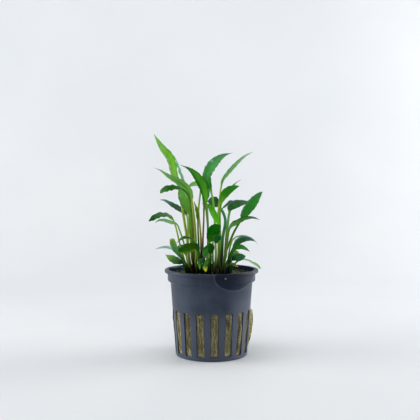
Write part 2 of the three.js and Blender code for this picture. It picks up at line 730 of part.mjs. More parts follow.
const pottedPlant = new THREE.Group();
pottedPlant.add(piece("pot", potGeometry(), POT_MATERIAL));
pottedPlant.add(piece("rockwool", woolGeometry(), WOOL_MATERIAL));
for (const plantlet of PLANTLETS) {
  const tuft = new THREE.Group();
  const crown = piece(`crown_${plantlet.name}`, turned(crownProfile(0), CROWN_SIDES), CROWN_MATERIAL);
  crown.position.set(plantlet.at[0], plantlet.at[1], 0);
  tuft.add(crown);
  plantlet.leaves.forEach((leaf, index) => {
    const name = `leaf_${plantlet.name}_${index + 1}`;
    tuft.add(piece(name, leafGeometry(plantlet, leaf), LEAF_MATERIALS[leaf.green]));
  });
  pottedPlant.add(tuft);
}

export default pottedPlant;
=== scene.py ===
"""Looks of the potted cryptocoryne willisii: a slotted net pot, mossy rockwool and eight crowns of leaves.

The sizes are the millimetres of the solids, turned into metres when a mesh is made. Finishes are laid out in
metres. Colours are display values from 0 to 255, and factors on a colour are shares of its channels.
"""

from __future__ import annotations

import logging
import math
import random
from dataclasses import dataclass, field
from enum import Enum
from typing import Any, Optional, Sequence, Union

import bpy
import numpy as np
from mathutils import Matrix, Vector, noise


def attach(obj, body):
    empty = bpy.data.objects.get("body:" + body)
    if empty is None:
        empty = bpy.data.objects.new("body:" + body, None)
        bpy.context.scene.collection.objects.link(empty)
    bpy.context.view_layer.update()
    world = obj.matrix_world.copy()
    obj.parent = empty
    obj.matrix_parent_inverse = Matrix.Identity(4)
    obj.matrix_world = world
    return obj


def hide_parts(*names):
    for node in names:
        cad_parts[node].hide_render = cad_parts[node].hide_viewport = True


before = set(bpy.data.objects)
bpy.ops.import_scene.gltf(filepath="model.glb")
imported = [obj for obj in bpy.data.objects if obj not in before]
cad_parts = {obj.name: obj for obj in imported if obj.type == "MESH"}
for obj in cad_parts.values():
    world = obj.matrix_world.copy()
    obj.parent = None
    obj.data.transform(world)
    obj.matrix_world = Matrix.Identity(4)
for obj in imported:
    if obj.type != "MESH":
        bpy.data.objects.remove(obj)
log = logging.getLogger("potted_plant")

Colour = tuple[float, float, float]
Spot = tuple[float, float, float]
Faces = list[tuple[int, ...]]
# What the shader maths takes: sockets, or a number or colour that is the same all over
Value = Union["Socket", float]
Paint = Union["Socket", Colour]

MM = 0.001
FULL_TURN = 2 * math.pi
# Where the camera stands, in millimetres: the leaves' points were sighted from there
EYE = np.array((-0.9, -400.0, 98.6))


def linear(colour: Sequence[float]) -> Colour:
    """Returns the scene-linear values of a colour given in 0 to 255 display values."""
    shares = [channel / 255 for channel in colour]
    return tuple(s / 12.92 if s <= 0.04045 else ((s + 0.055) / 1.055) ** 2.4 for s in shares)


def smooth(share: Any) -> Any:
    """Returns an eased share that stays within 0 and 1."""
    held = np.clip(share, 0.0, 1.0)
    return held * held * (3 - 2 * held)


def lump(x: float, y: float, z: float, scale: float) -> float:
    """Returns gentle noise at a place in millimetres, with lumps of the given size."""
    return noise.noise(Vector((x, y, z)) / scale)


class Socket:
    """An output of a shader node, with the arithmetic that the finishes are written in."""

    def __init__(self, nodes: Nodes, link: bpy.types.NodeSocket) -> None:
        """Keeps the output and the tree that it belongs to."""
        self.nodes = nodes
        self.link = link

    def _math(self, operation: str, first: Value, second: Value = 0.0) -> Socket:
        """Returns the result of a Math node on two values."""
        return self.nodes.add("ShaderNodeMath", {"operation": operation}, {0: first, 1: second})

    def __add__(self, other: Value) -> Socket:
        """Adds a value or a socket."""
        return self._math("ADD", self, other)

    __radd__ = __add__

    def __sub__(self, other: Value) -> Socket:
        """Takes a value or a socket away."""
        return self._math("SUBTRACT", self, other)

    def __rsub__(self, other: Value) -> Socket:
        """Takes the socket away from a value."""
        return self._math("SUBTRACT", other, self)

    def __mul__(self, other: Value) -> Socket:
        """Multiplies by a value or a socket."""
        return self._math("MULTIPLY", self, other)

    __rmul__ = __mul__

    def __mod__(self, other: Value) -> Socket:
        """Returns the remainder, which is never negative."""
        return self._math("FLOORED_MODULO", self, other)

    def __abs__(self) -> Socket:
        """Drops the sign."""
        return self._math("ABSOLUTE", self)

    def above(self, low: float, high: float) -> Socket:
        """Returns an eased mask, 0 under low and 1 over high, or the reverse when low is larger."""
        inputs = {"Value": self, "From Min": low, "From Max": high}
        return self.nodes.add("ShaderNodeMapRange", {"interpolation_type": "SMOOTHSTEP"}, inputs)


class Nodes:
    """The shader nodes of one material, ending in a Principled BSDF."""

    def __init__(self, name: str) -> None:
        """Makes the material with an empty tree and its shader.

        Args:
            name: The material's name.
        """
        self.material = bpy.data.materials.new(name)
        self.material.use_nodes = True
        self.tree = self.material.node_tree
        self.tree.nodes.clear()
        self.shader = self.tree.nodes.new("ShaderNodeBsdfPrincipled")
        output = self.tree.nodes.new("ShaderNodeOutputMaterial")
        self.tree.links.new(self.shader.outputs[0], output.inputs[0])

    def add(
        self,
        kind: str,
        settings: Optional[dict[str, Any]] = None,
        inputs: Optional[dict[Union[int, str], Any]] = None,
        output: Union[int, str] = 0,
    ) -> Socket:
        """Adds a node.

        Args:
            kind: The node's type.
            settings: Its properties, set first, where "stops" gives a colour ramp its stops.
            inputs: Values or sockets for its inputs, by name or number.
            output: The output that is returned.

        Returns:
            The chosen output.
        """
        node = self.tree.nodes.new(kind)
        for key, value in (settings or {}).items():
            if key == "stops":
                self.set_stops(node.color_ramp, value)
            else:
                setattr(node, key, value)
        for key, value in (inputs or {}).items():
            self.feed(node.inputs[key], value)
        return Socket(self, node.outputs[output])

    @staticmethod
    def set_stops(ramp: bpy.types.ColorRamp, stops: Sequence[tuple[float, Colour]]) -> None:
        """Gives a colour ramp its stops.

        Args:
            ramp: The ramp, with the two stops that it starts with.
            stops: Each stop's place from 0 to 1 and its scene-linear colour.
        """
        while len(ramp.elements) < len(stops):
            ramp.elements.new(0.5)
        for element, (place, colour) in zip(ramp.elements, stops):
            element.position = place
            element.color = (*colour, 1.0)

    def feed(self, target: bpy.types.NodeSocket, value: Any) -> None:
        """Links a socket to an input, or sets the input's value.

        Args:
            target: The input.
            value: A socket, a number, a vector or a scene-linear colour.
        """
        if isinstance(value, Socket):
            self.tree.links.new(value.link, target)
        elif isinstance(value, tuple) and target.type == "RGBA":
            target.default_value = (*value, 1.0)
        else:
            target.default_value = value

    def surface(self, **sockets: Any) -> None:
        """Feeds the shader; an underscore in a name stands for a space."""
        for name, value in sockets.items():
            self.feed(self.shader.inputs[name.replace("_", " ")], value)

    def place(self) -> Socket:
        """Returns the place on the piece in metres."""
        return self.add("ShaderNodeTexCoord", output="Object")

    def attribute(self, name: str, output: str = "Color") -> Socket:
        """Returns a value that the mesh carries at its points."""
        return self.add("ShaderNodeAttribute", {"attribute_name": name}, output=output)

    def part(self, vector: Socket, axis: str) -> Socket:
        """Returns the X, Y or Z of a vector."""
        return self.add("ShaderNodeSeparateXYZ", None, {0: vector}, axis)

    def noise(
        self, scale: float, detail: float = 3.0, at: Optional[Socket] = None, rough: float = 0.55
    ) -> Socket:
        """Returns noise from 0 to 1, with the given number of lumps in a metre."""
        inputs = {"Vector": at or self.place(), "Scale": scale, "Detail": detail, "Roughness": rough}
        return self.add("ShaderNodeTexNoise", None, inputs)

    def stretched(self, scale: Spot, at: Optional[Socket] = None) -> Socket:
        """Returns the place with each of its directions scaled."""
        inputs = {0: at or self.place(), 1: scale}
        return self.add("ShaderNodeVectorMath", {"operation": "MULTIPLY"}, inputs)

    def reach(self, scale: Spot, at: Optional[Socket] = None) -> Socket:
        """Returns the distance of a place from the origin, with each of its directions scaled."""
        inputs = {0: self.stretched(scale, at)}
        return self.add("ShaderNodeVectorMath", {"operation": "LENGTH"}, inputs, "Value")

    def mix(self, first: Paint, second: Paint, share: Value, blend: str = "MIX") -> Socket:
        """Mixes two scene-linear colours."""
        settings = {"data_type": "RGBA", "blend_type": blend}
        return self.add("ShaderNodeMix", settings, {0: share, 6: first, 7: second}, output=2)

    def paint(self, under: Paint, colour: Colour, share: Value) -> Socket:
        """Lays a display colour over another colour."""
        return self.mix(under, linear(colour), share)

    def tone(self, colour: Paint, factors: Paint) -> Socket:
        """Multiplies the channels of a colour."""
        return self.mix(colour, factors, 1.0, "MULTIPLY")

    def ramp(self, value: Socket, *stops: tuple[float, Colour]) -> Socket:
        """Returns the colour at a value between display colours at given stops."""
        shades = [(place, linear(colour)) for place, colour in stops]
        return self.add("ShaderNodeValToRGB", {"stops": shades}, {0: value})

    def bump(self, height: Socket, strength: float, distance: float) -> None:
        """Feeds the shader's normal with a relief of the given depth in metres."""
        inputs = {"Strength": strength, "Distance": distance, "Height": height}
        self.surface(Normal=self.add("ShaderNodeBump", None, inputs))


class Slot(Enum):
    """The material slots of the record."""

    POT = "pot_plastic"
    WOOL = "rockwool"
    CROWN = "crown"
    FRESH = "leaf_fresh"
    GREEN = "leaf_green"
    DEEP = "leaf_deep"
    TEAL = "leaf_teal"
    PALE = "leaf_pale"


class Stem(Enum):
    """Colours of a stalk at its foot, middle and top; the dark foot is painted shade over its own brown."""

    GREEN = ((34, 40, 16), (90, 136, 46), (98, 154, 56))
    YELLOW = ((46, 48, 18), (134, 154, 56), (146, 166, 68))
    OLIVE = ((32, 28, 16), (100, 96, 42), (94, 116, 50))
    GOLD = ((58, 42, 18), (166, 148, 64), (116, 158, 66))
    BROWN = ((34, 26, 16), (116, 102, 68), (102, 112, 60))
    PALE = ((44, 46, 22), (150, 176, 104), (104, 150, 58))
    MOSS = ((28, 32, 16), (86, 118, 42), (88, 134, 50))
    TEAL = ((32, 48, 18), (68, 122, 84), (70, 128, 102))
    FERN = ((30, 26, 14), (98, 112, 48), (52, 108, 42))
    DARK = ((20, 28, 12), (42, 84, 34), (50, 104, 42))


@dataclass(frozen=True)
class Margin:
    """The colour along one side of a blade, on a few leaves a painted highlight or shadow.

    Attributes:
        colour: Its display colour.
        start: Where it starts, as a share of the way from the rib to the side.
        since: Where it starts, as a share of the blade's length.
    """

    colour: Colour
    start: float = 0.7
    since: float = 0.0


@dataclass(frozen=True)
class StainOrHighlight:
    """A round mark on a blade: a stain on some leaves, a painted highlight on others.

    Attributes:
        along: Its place, as a share of the blade's length.
        across: Its place across the blade, from -1 to 1.
        radius: Its radius in millimetres.
        colour: Its display colour.
    """

    along: float
    across: float
    radius: float
    colour: Colour


@dataclass(frozen=True)
class Greens:
    """A leaf's display colours.

    Attributes:
        base: The blade's colour at its base.
        middle: The blade's colour halfway.
        tip: The blade's colour towards its tip.
        stem: The stalk's colours.
        minus: The margin on one side, where it differs.
        plus: The margin on the other side, where it differs.
        rib: The rib's colour, where it differs.
        spot: A stain on the blade, and on some leaves a painted highlight instead.
        turns: The share of the blade from which it turns to the colour of its tip.
        foot_shade_height: The height in millimetres where the stalk turns from its dark foot of painted
            shade.
    """

    base: Colour
    middle: Colour
    tip: Colour
    stem: Stem
    minus: Optional[Margin] = None
    plus: Optional[Margin] = None
    rib: Optional[Colour] = None
    spot: Optional[StainOrHighlight] = None
    turns: float = 0.5
    foot_shade_height: float = 7.0


@dataclass(frozen=True)
class PotPlastic:
    """Moulded slate-blue plastic: fine grain, dust, scuffs, painted light low down and at the sides, a
    darker patch, and painted shade inside.

    Attributes:
        shade: The colour between the paler clouds of the body's colour.
        dust: The colour of the dust, and of the pale edge round the darker patch.
        painted_light: The colour of painted light on the lower body with its ribs, on the left side and on
            the lower right.
        wet: The colour laid on the inside above the wool as painted shade.
        darker_patch: Factors on the colour in the darker patch on the collar.
        dark_patch_spot: The middle of the darker patch on the collar, in metres.
        dark_patch_scale: One over the half width and the half height of the darker patch, in metres.
        collar_inside: The radii in metres between which the collar turns to its inside.
        collar_foot: The heights in metres between which the inside of the collar starts.
    """

    body: Colour = (51, 61, 78)
    shade: Colour = (40, 48, 63)
    dust: Colour = (73, 83, 100)
    painted_light: Colour = (87, 95, 112)
    scuff: Colour = (130, 134, 142)
    wet: Colour = (12, 20, 58)
    darker_patch: Colour = (0.06, 0.18, 0.4)
    dark_patch_spot: Spot = (0.013, 0.0, 0.0485)
    dark_patch_scale: Spot = (87, 0, 118)
    collar_inside: tuple[float, float] = (0.0256, 0.0249)
    collar_foot: tuple[float, float] = (0.0434, 0.0438)

    def material(self) -> bpy.types.Material:
        """Makes the plastic.

        Returns:
            The pot's material.
        """
        nodes = Nodes("slate_plastic")
        across, depth, height = (nodes.part(nodes.place(), axis) for axis in "XYZ")
        cloud = nodes.noise(55, 4)
        streak = nodes.noise(1, 5, nodes.stretched((420, 420, 28)))
        grain = nodes.noise(2600, 2)
        dust = cloud.above(0.52, 0.78) * 0.4 + streak.above(0.6, 0.85) * 0.35
        scuff = nodes.noise(1, 2, nodes.stretched((900, 900, 240))).above(0.74, 0.8)
        colour = nodes.mix(linear(self.shade), linear(self.body), cloud.above(0.3, 0.62))
        colour = nodes.paint(colour, self.dust, dust)
        colour = nodes.paint(colour, self.scuff, scuff * 0.3)
        # painted light: the lower body with its ribs is paler
        colour = nodes.paint(colour, self.painted_light, height.above(0.031, 0.02) * 0.55)
        front = depth.above(0.0, -0.004)
        right, left = across.above(0.007, 0.015), across.above(-0.008, -0.016)
        # painted light: paler on the left side and on the lower right of the front
        lit_sides = right * height.above(0.039, 0.031) + left * 0.4
        colour = nodes.paint(colour, self.painted_light, lit_sides * front * (0.3 + cloud * 0.6))
        # a darker patch with a pale edge on the front right of the collar
        colour = self.with_dark_patch(nodes, colour, front, streak)
        # painted shade: the inside of the collar above the wool is laid on dark
        inside = nodes.reach((1, 1, 0)).above(*self.collar_inside) * height.above(*self.collar_foot)
        colour = nodes.paint(colour, self.wet, inside * 0.9)
        nodes.surface(Base_Color=colour, Roughness=0.4 + dust * 0.2 + grain * 0.08 + inside * 0.45)
        nodes.surface(Specular_IOR_Level=0.2)
        nodes.bump(grain * 0.5 + streak * 0.5, 0.35, 0.00012)
        return nodes.material

    def with_dark_patch(self, nodes: Nodes, colour: Socket, front: Socket, streak: Socket) -> Socket:
        """Lays a darker patch with a pale edge over the collar.

        Args:
            nodes: The plastic's nodes.
            colour: The plastic's colour so far.
            front: A mask of the front half.
            streak: Noise that makes the edge uneven.

        Returns:
            The colour with the patch.
        """
        away = tuple(-distance for distance in self.dark_patch_spot)
        shifted = nodes.add("ShaderNodeVectorMath", {"operation": "ADD"}, {0: nodes.place(), 1: away})
        ring = nodes.reach(self.dark_patch_scale, shifted) + streak * 0.1
        edge = ring.above(0.98, 1.04) * ring.above(1.14, 1.05)
        colour = nodes.paint(colour, self.dust, edge * front * 0.6)
        return nodes.mix(colour, nodes.tone(colour, self.darker_patch), ring.above(1.06, 0.98) * front)


@dataclass(frozen=True)
class WoolFibre:
    """Wet rockwool: matted golden to olive strands with dark hollows and green algae above.

    Where the wool is dark with painted shade or golden, dimmed or gilded are the factors on its colour.
    """

    hollow: Colour = (84, 80, 62)
    strand: Colour = (172, 166, 130)
    pale: Colour = (216, 210, 172)
    algae: Colour = (62, 78, 34)
    darker_patch: Colour = (84, 78, 50)
    in_painted_shade: Colour = (0.36, 0.36, 0.39)
    gilded: Colour = (1.55, 1.5, 1.05)

    def material(self) -> bpy.types.Material:
        """Makes the rockwool, darker with painted shade and more golden by what the mesh carries as its
        mood.

        Returns:
            The plug's material.
        """
        nodes = Nodes("matted_rockwool")
        warp = nodes.noise(300, 2)
        strands = nodes.noise(1, 6, nodes.stretched((1500, 1500, 190)), 0.65)
        tangle = nodes.noise(1, 5, nodes.stretched((700, 700, 900)), 0.7)
        mixed = strands * 0.62 + tangle * 0.28 + warp * 0.1
        colour = nodes.ramp(mixed, (0.34, self.hollow), (0.5, self.strand), (0.64, self.pale))
        height = nodes.part(nodes.place(), "Z")
        algae = height.above(0.036, 0.0445) * nodes.noise(160, 3).above(0.3, 0.6)
        colour = nodes.paint(colour, self.algae, algae * 0.75)
        darker_patch = nodes.noise(75, 3).above(0.45, 0.68)
        colour = nodes.paint(colour, self.darker_patch, darker_patch * 0.4)
        # painted shade where the wool sits back behind a slot's sides, then golden wool
        shade_and_gold = nodes.attribute("shade_and_gold", "Vector")
        dark, golden = nodes.part(shade_and_gold, "X"), nodes.part(shade_and_gold, "Y")
        colour = nodes.mix(colour, nodes.tone(colour, self.in_painted_shade), dark * (0.6 + darker_patch * 0.4))
        colour = nodes.mix(colour, nodes.tone(colour, self.gilded), golden)
        nodes.surface(Base_Color=colour, Roughness=0.86)
        nodes.bump(mixed, 0.9, 0.0009)
        return nodes.material


@dataclass(frozen=True)
class TintedFibre:
    """Fine strands that take the colour their mesh carries, with a slight streak."""

    name: str
    roughness: float = 0.8
    darker: Colour = (0.55, 0.55, 0.5)
    lighter: Colour = (1.15, 1.15, 1.1)

    def material(self) -> bpy.types.Material:
        """Makes the strands' finish.

        Returns:
            The strands' material.
        """
        nodes = Nodes(self.name)
        streak = nodes.noise(1400, 2)
        colour = nodes.tone(nodes.attribute("tint"), nodes.mix(self.darker, self.lighter, streak))
        nodes.surface(Base_Color=colour, Roughness=self.roughness)
        nodes.bump(streak, 0.4, 0.0001)
        return nodes.material


@dataclass(frozen=True)
class CrownSkin:
    """The crown's brown skin, with scars between pale rings of old sheaths, laid on darker as painted shade.
    """

    skin: Colour = (66, 54, 30)
    scar: Colour = (28, 22, 14)
    sheath: Colour = (112, 104, 62)

    def material(self) -> bpy.types.Material:
        """Makes the crown's finish.

        Returns:
            The crowns' material.
        """
        nodes = Nodes("crown_skin")
        rings = nodes.noise(1, 4, nodes.stretched((260, 260, 2200)))
        fibres = nodes.noise(1, 4, nodes.stretched((2600, 2600, 300)))
        stops = (0.36, self.scar), (0.6, self.skin), (0.8, self.sheath)
        nodes.surface(Base_Color=nodes.ramp(rings * 0.5 + fibres * 0.5, *stops), Roughness=0.7)
        nodes.bump(rings + fibres, 0.8, 0.0003)
        return nodes.material


@dataclass(frozen=True)
class LeafSkin:
    """A leaf's waxy skin: its own colours, fine veins along it, a pale rib and a soft gloss.

    Gloss is the shader's specular level. Each half of a blade has vein_count veins and each millimetre of it
    cross_count cross veins. Light and dark are factors on the leaf's own colour, the rib leans towards its
    colour, and worn is the colour of worn sides.
    """

    slot: Slot
    gloss: float
    roughness: float = 0.42
    vein: float = 0.11
    vein_count: float = 3.4
    cross_count: float = 0.62
    light: Colour = (1.35, 1.35, 1.1)
    dark: Colour = (0.6, 0.68, 0.6)
    rib: Colour = (150, 180, 70)
    worn: Colour = (92, 82, 46)

    @staticmethod
    def stripes(value: Socket, width: float) -> Socket:
        """Returns a mask of stripes, one to each whole step of a value."""
        return 1 - abs(value % 1.0 - 0.5).above(0.0, width)

    def material(self) -> bpy.types.Material:
        """Makes the leaf finish of one slot.

        The mesh carries its tint and how each point lies: across from -1 to 1, the millimetres along the
        leaf, and 1 on the blade.

        Returns:
            The leaves' material.
        """
        nodes = Nodes(self.slot.value)
        tint = nodes.attribute("tint")
        lie = nodes.attribute("lie", "Vector")
        off, along, blade = abs(nodes.part(lie, "X")), nodes.part(lie, "Y"), nodes.part(lie, "Z")
        mottle = nodes.noise(700, 3)
        cells = nodes.noise(2400, 2)
        veins = self.stripes(off * self.vein_count + mottle * 0.12, 0.11) * off.above(0.1, 0.2)
        cross = self.stripes(along * self.cross_count + off * 1.7 + mottle * 0.5, 0.1)
        rib = (1 - off.above(0.035, 0.1)) * blade
        light, dark = nodes.tone(tint, self.light), nodes.tone(tint, self.dark)
        colour = nodes.mix(tint, dark, nodes.noise(210, 3).above(0.42, 0.7) * 0.45)
        colour = nodes.mix(colour, light, (veins * self.vein + cross * 0.05) * blade + cells * 0.1)
        colour = nodes.mix(colour, nodes.paint(light, self.rib, 0.12), rib * 0.35)
        worn = off.above(0.86, 0.97) * blade * nodes.noise(260, 2).above(0.35, 0.6)
        colour = nodes.paint(colour, self.worn, worn * 0.4)
        nodes.surface(Base_Color=colour, Roughness=self.roughness + mottle * 0.14)
        wet = nodes.noise(150, 2).above(0.6, 0.72)
        nodes.surface(Coat_Weight=wet * 0.22, Coat_Roughness=0.22, Specular_IOR_Level=self.gloss)
        nodes.bump(1 - (veins * 0.5 + rib * 0.8 + cross * 0.2) + cells * 0.25, 0.3, 0.00018)
        return nodes.material


class Mould:
    """Makes mesh objects from arrays of points, and lets them ride the object's only body."""

    @staticmethod
    def piece(
        name: str,
        points: np.ndarray,
        faces: Faces,
        material: bpy.types.Material,
        attributes: Optional[dict[str, np.ndarray]] = None,
        flat: bool = False,
    ) -> bpy.types.Object:
        """Makes one mesh object.

        Args:
            name: The piece's name.
            points: Its points in millimetres.
            faces: Its faces as rows of point numbers.
            material: Its finish.
            attributes: Values at its points, as colours of four or vectors of three numbers.
            flat: Whether its faces are shaded flat.

        Returns:
            The new object.
        """
        mesh = bpy.data.meshes.new(name)
        mesh.from_pydata((points * MM).tolist(), [], faces)
        for key, values in (attributes or {}).items():
            is_colour = values.shape[1] == 4
            kind = "FLOAT_COLOR" if is_colour else "FLOAT_VECTOR"
            layer = mesh.attributes.new(key, kind, "POINT")
            layer.data.foreach_set("color" if is_colour else "vector", values.astype(np.float32).ravel())
        mesh.polygons.foreach_set("use_smooth", [not flat] * len(mesh.polygons))
        mesh.materials.append(material)
        made = bpy.data.objects.new(name, mesh)
        bpy.context.scene.collection.objects.link(made)
        return made

    @staticmethod
    def belongs(piece: bpy.types.Object, slot: Slot, *nodes: str) -> bpy.types.Object:
        """Lets a piece ride the object and reports it.

        Args:
            piece: The piece.
            slot: Its material slot; not used.
            nodes: The solids that it stands for, if any.

        Returns:
            The piece.
        """
        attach(piece, "root")
        if nodes:
            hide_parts(*nodes)
        log.info("%s: %d points, %d faces", piece.name, len(piece.data.vertices), len(piece.data.polygons))
        return piece

    @staticmethod
    def grid(rows: int, around: int, start: int = 0) -> Faces:
        """Makes the faces of a tube of rings, open at both ends.

        Args:
            rows: How many rings it has.
            around: How many points a ring has.
            start: The number of its first point.

        Returns:
            The faces, from the first ring to the last.
        """
        return [
            (
                start + row * around + step,
                start + row * around + (step + 1) % around,
                start + (row + 1) * around + (step + 1) % around,
                start + (row + 1) * around + step,
            )
            for row in range(rows - 1)
            for step in range(around)
        ]

    @staticmethod
    def tube(rows: int, around: int, start: int = 0) -> Faces:
        """Makes the faces of a tube of rings that a flat face closes at each end.

        Args:
            rows: How many rings it has.
            around: How many points a ring has.
            start: The number of its first point.

        Returns:
            The faces.
        """
        last = start + (rows - 1) * around
        ends = [tuple(range(start, start + around))[::-1], tuple(range(last, last + around))]
        return Mould.grid(rows, around, start) + ends

    @staticmethod
    def turned(rows: int, around: int) -> Faces:
        """Makes the faces of a tube of rings that a fan closes at each end.

        Args:
            rows: How many rings it has.
            around: How many points a ring has. The middles of the two fans follow the rings.

        Returns:
            The faces.
        """
        faces = Mould.grid(rows, around)
        bottom, top, last = rows * around, rows * around + 1, (rows - 1) * around
        for step in range(around):
            after = (step + 1) % around
            faces += [(bottom, after, step), (top, last + step, last + after)]
        return faces


def within(value: float, limit: float) -> float:
    """Returns a value held within a limit on either side of 0."""
    return max(-limit, min(limit, value))


def bearing_spot(radius: float, bearing: float, height: float) -> Spot:
    """Returns the point at a bearing in radians, counted from the front towards +X."""
    return radius * math.sin(bearing), -radius * math.cos(bearing), height


def rounded(profile: Sequence[tuple[float, float, float]], steps: int = 4) -> list[tuple[float, float]]:
    """Rounds the corners of a profile.

    Args:
        profile: Points as radius, height and how far back from the corner its rounding starts.
        steps: How many steps each rounding takes.

    Returns:
        The points of the rounded profile.
    """
    spots = []
    for index, (radius, height, cut) in enumerate(profile):
        corner = np.array((radius, height))
        if cut <= 0 or index in (0, len(profile) - 1):
            spots.append((radius, height))
            continue
        before = np.array(profile[index - 1][:2]) - corner
        after = np.array(profile[index + 1][:2]) - corner
        enter = corner + before / np.linalg.norm(before) * cut
        leave = corner + after / np.linalg.norm(after) * cut
        for step in range(steps + 1):
            share = step / steps
            spot = (1 - share) ** 2 * enter + 2 * share * (1 - share) * corner + share**2 * leave
            spots.append((float(spot[0]), float(spot[1])))
    return spots


@dataclass
class NetPot:
    """The slotted net pot, with a rounded lip over a short collar and seventeen tall slots.

    Radii are outer ones, and the collar and the body's top are given by their heights. A reach is the two
    radii between which slots are cut, and first_slot is a bearing in degrees. The crease is the angle in
    degrees from which an edge is shaded sharp.
    """

    height: float = 50
    lip_radius: float = 27.5
    lip_depth: float = 1.8
    collar_radius: float = 25.7
    collar_foot: float = 43.6
    top_radius: float = 24
    top: float = 42.4
    base_radius: float = 21
    wall: float = 0.9
    floor: float = 1.2
    slots: int = 17
    first_slot: float = 4.5
    slot_width: float = 4.7
    slot_top: float = 27
    slot_foot: float = 2.2
    slot_reach: tuple[float, float] = (17, 29)
    base_slots: int = 8
    base_slot_width: float = 3.0
    base_slot_reach: tuple[float, float] = (8, 17)
    sides: int = 192
    crease: float = 38

    def radius(self, height: float) -> float:
        """Returns the outer radius of the tapering body at a height."""
        return self.base_radius + (self.top_radius - self.base_radius) * height / self.top

    def bearing(self, index: int) -> float:
        """Returns the bearing of a slot in radians."""
        return math.radians(self.first_slot + 360 / self.slots * index)

    def shell(self) -> tuple[np.ndarray, Faces]:
        """Turns the shell, before its slots are cut.

        Returns:
            Its points and faces.
        """
        lip_foot = self.height - self.lip_depth
        inner = self.collar_radius - self.wall
        outside = (
            (0, 0, 0),
            (self.base_radius, 0, 0.7),
            (self.top_radius, self.top, 0.5),
            (self.collar_radius, self.collar_foot, 0.45),
            (self.collar_radius, lip_foot, 0.3),
            (self.lip_radius, lip_foot, 0.6),
            (self.lip_radius, self.height, 0.65),
        )
        inside = (
            (inner, self.height, 0.5),
            (inner, self.collar_foot, 0.5),
            (self.top_radius - self.wall, self.top, 0.5),
            (self.radius(self.floor) - self.wall, self.floor, 0.6),
            (0, self.floor, 0),
        )
        rings = rounded(outside + inside)[1:-1]
        points = [
            bearing_spot(radius, FULL_TURN * step / self.sides, height)
            for radius, height in rings
            for step in range(self.sides)
        ]
        points += [(0, 0, 0), (0, 0, self.floor)]
        return np.array(points), Mould.turned(len(rings), self.sides)

    @staticmethod
    def spoke(
        width: float, reach: tuple[float, float], heights: tuple[float, float], bearing: float
    ) -> tuple[np.ndarray, Faces]:
        """Makes a spoke with rounded edges that cuts one slot.

        Args:
            width: The slot's width.
            reach: The radii where the spoke starts and ends.
            heights: The heights of the slot's foot and top.
            bearing: The slot's bearing in radians.

        Returns:
            Its points and faces.
        """
        half, corner = width / 2, min(0.7, width / 4)
        side, (foot, top) = half - corner, heights
        outline = []
        for across, height, start in (
            (side, top - corner, 0),
            (-side, top - corner, 90),
            (-side, foot + corner, 180),
            (side, foot + corner, 270),
        ):
            for step in range(5):
                angle = math.radians(start + 90 * step / 4)
                outline.append((across + corner * math.cos(angle), height + corner * math.sin(angle)))
        sine, cosine = math.sin(bearing), math.cos(bearing)
        points = [
            (across * cosine + radius * sine, across * sine - radius * cosine, height)
            for radius in reach
            for across, height in outline
        ]
        return np.array(points), Mould.tube(2, len(outline))

    def cutters(self, finish: bpy.types.Material) -> bpy.types.Object:
        """Makes the spokes that cut every slot, as one object.

        Args:
            finish: The finish of the cut faces.

        Returns:
            The object, which the caller removes.
        """
        upright, through = (self.slot_foot, self.slot_top), (-1, self.floor + 0.1)
        spokes = [
            self.spoke(self.slot_width, self.slot_reach, upright, self.bearing(index))
            for index in range(self.slots)
        ]
        for index in range(self.base_slots):
            bearing = FULL_TURN / self.base_slots * index
            spokes.append(self.spoke(self.base_slot_width, self.base_slot_reach, through, bearing))
        faces, start = [], 0
        for spoke_points, spoke_faces in spokes:
            faces += [tuple(start + number for number in face) for face in spoke_faces]
            start += len(spoke_points)
        points = np.vstack([spoke_points for spoke_points, _ in spokes])
        return Mould.piece("slot_cutters", points, faces, finish, flat=True)

    def build(self) -> bpy.types.Object:
        """Builds the pot.

        Returns:
            Its piece.
        """
        finish = PotPlastic().material()
        pot = Mould.piece("net_pot", *self.shell(), finish)
        cutters = self.cutters(finish)
        boolean = pot.modifiers.new("slots", "BOOLEAN")
        boolean.operation = "DIFFERENCE"
        boolean.solver = "EXACT"
        boolean.object = cutters
        cut = bpy.data.meshes.new_from_object(pot.evaluated_get(bpy.context.evaluated_depsgraph_get()))
        pot.modifiers.clear()
        pot.data = cut
        bpy.data.objects.remove(cutters)
        cut.set_sharp_from_angle(angle=math.radians(self.crease))
        return Mould.belongs(pot, Slot.POT, "pot")


@dataclass
class WoolCrumb:
    """The small cream grain of wool that sticks to the front of the collar.

    Its radius is its half height, and stretch is how much wider and deeper it is.
    """

    at: Spot = (7.7, -24.6, 47.4)
    radius: float = 0.42
    stretch: tuple[float, float] = (1.5, 0.6)
    uneven: float = 0.22
    tint: Colour = (176, 160, 118)
    rows: int = 7
    around: int = 12
    seed: int = 5

    def build(self) -> bpy.types.Object:
        """Builds the crumb.

        Returns:
            Its piece.
        """
        rng = random.Random(self.seed)
        points = []
        for row in range(self.rows):
            polar = math.pi * (row + 0.5) / self.rows
            for step in range(self.around):
                turn = FULL_TURN * step / self.around
                size = self.radius * (1 + self.uneven * rng.uniform(-1, 1))
                x = self.at[0] + self.stretch[0] * size * math.sin(polar) * math.cos(turn)
                y = self.at[1] + self.stretch[1] * size * math.cos(polar)
                z = self.at[2] + size * math.sin(polar) * math.sin(turn)
                points.append((x, y, z))
        faces = Mould.tube(self.rows, self.around)
        tint = np.tile((*linear(self.tint), 1.0), (len(points), 1))
        finish = TintedFibre("crumb").material()
        crumb = Mould.piece("wool_crumb", np.array(points), faces, finish, {"tint": tint})
        return Mould.belongs(crumb, Slot.WOOL)


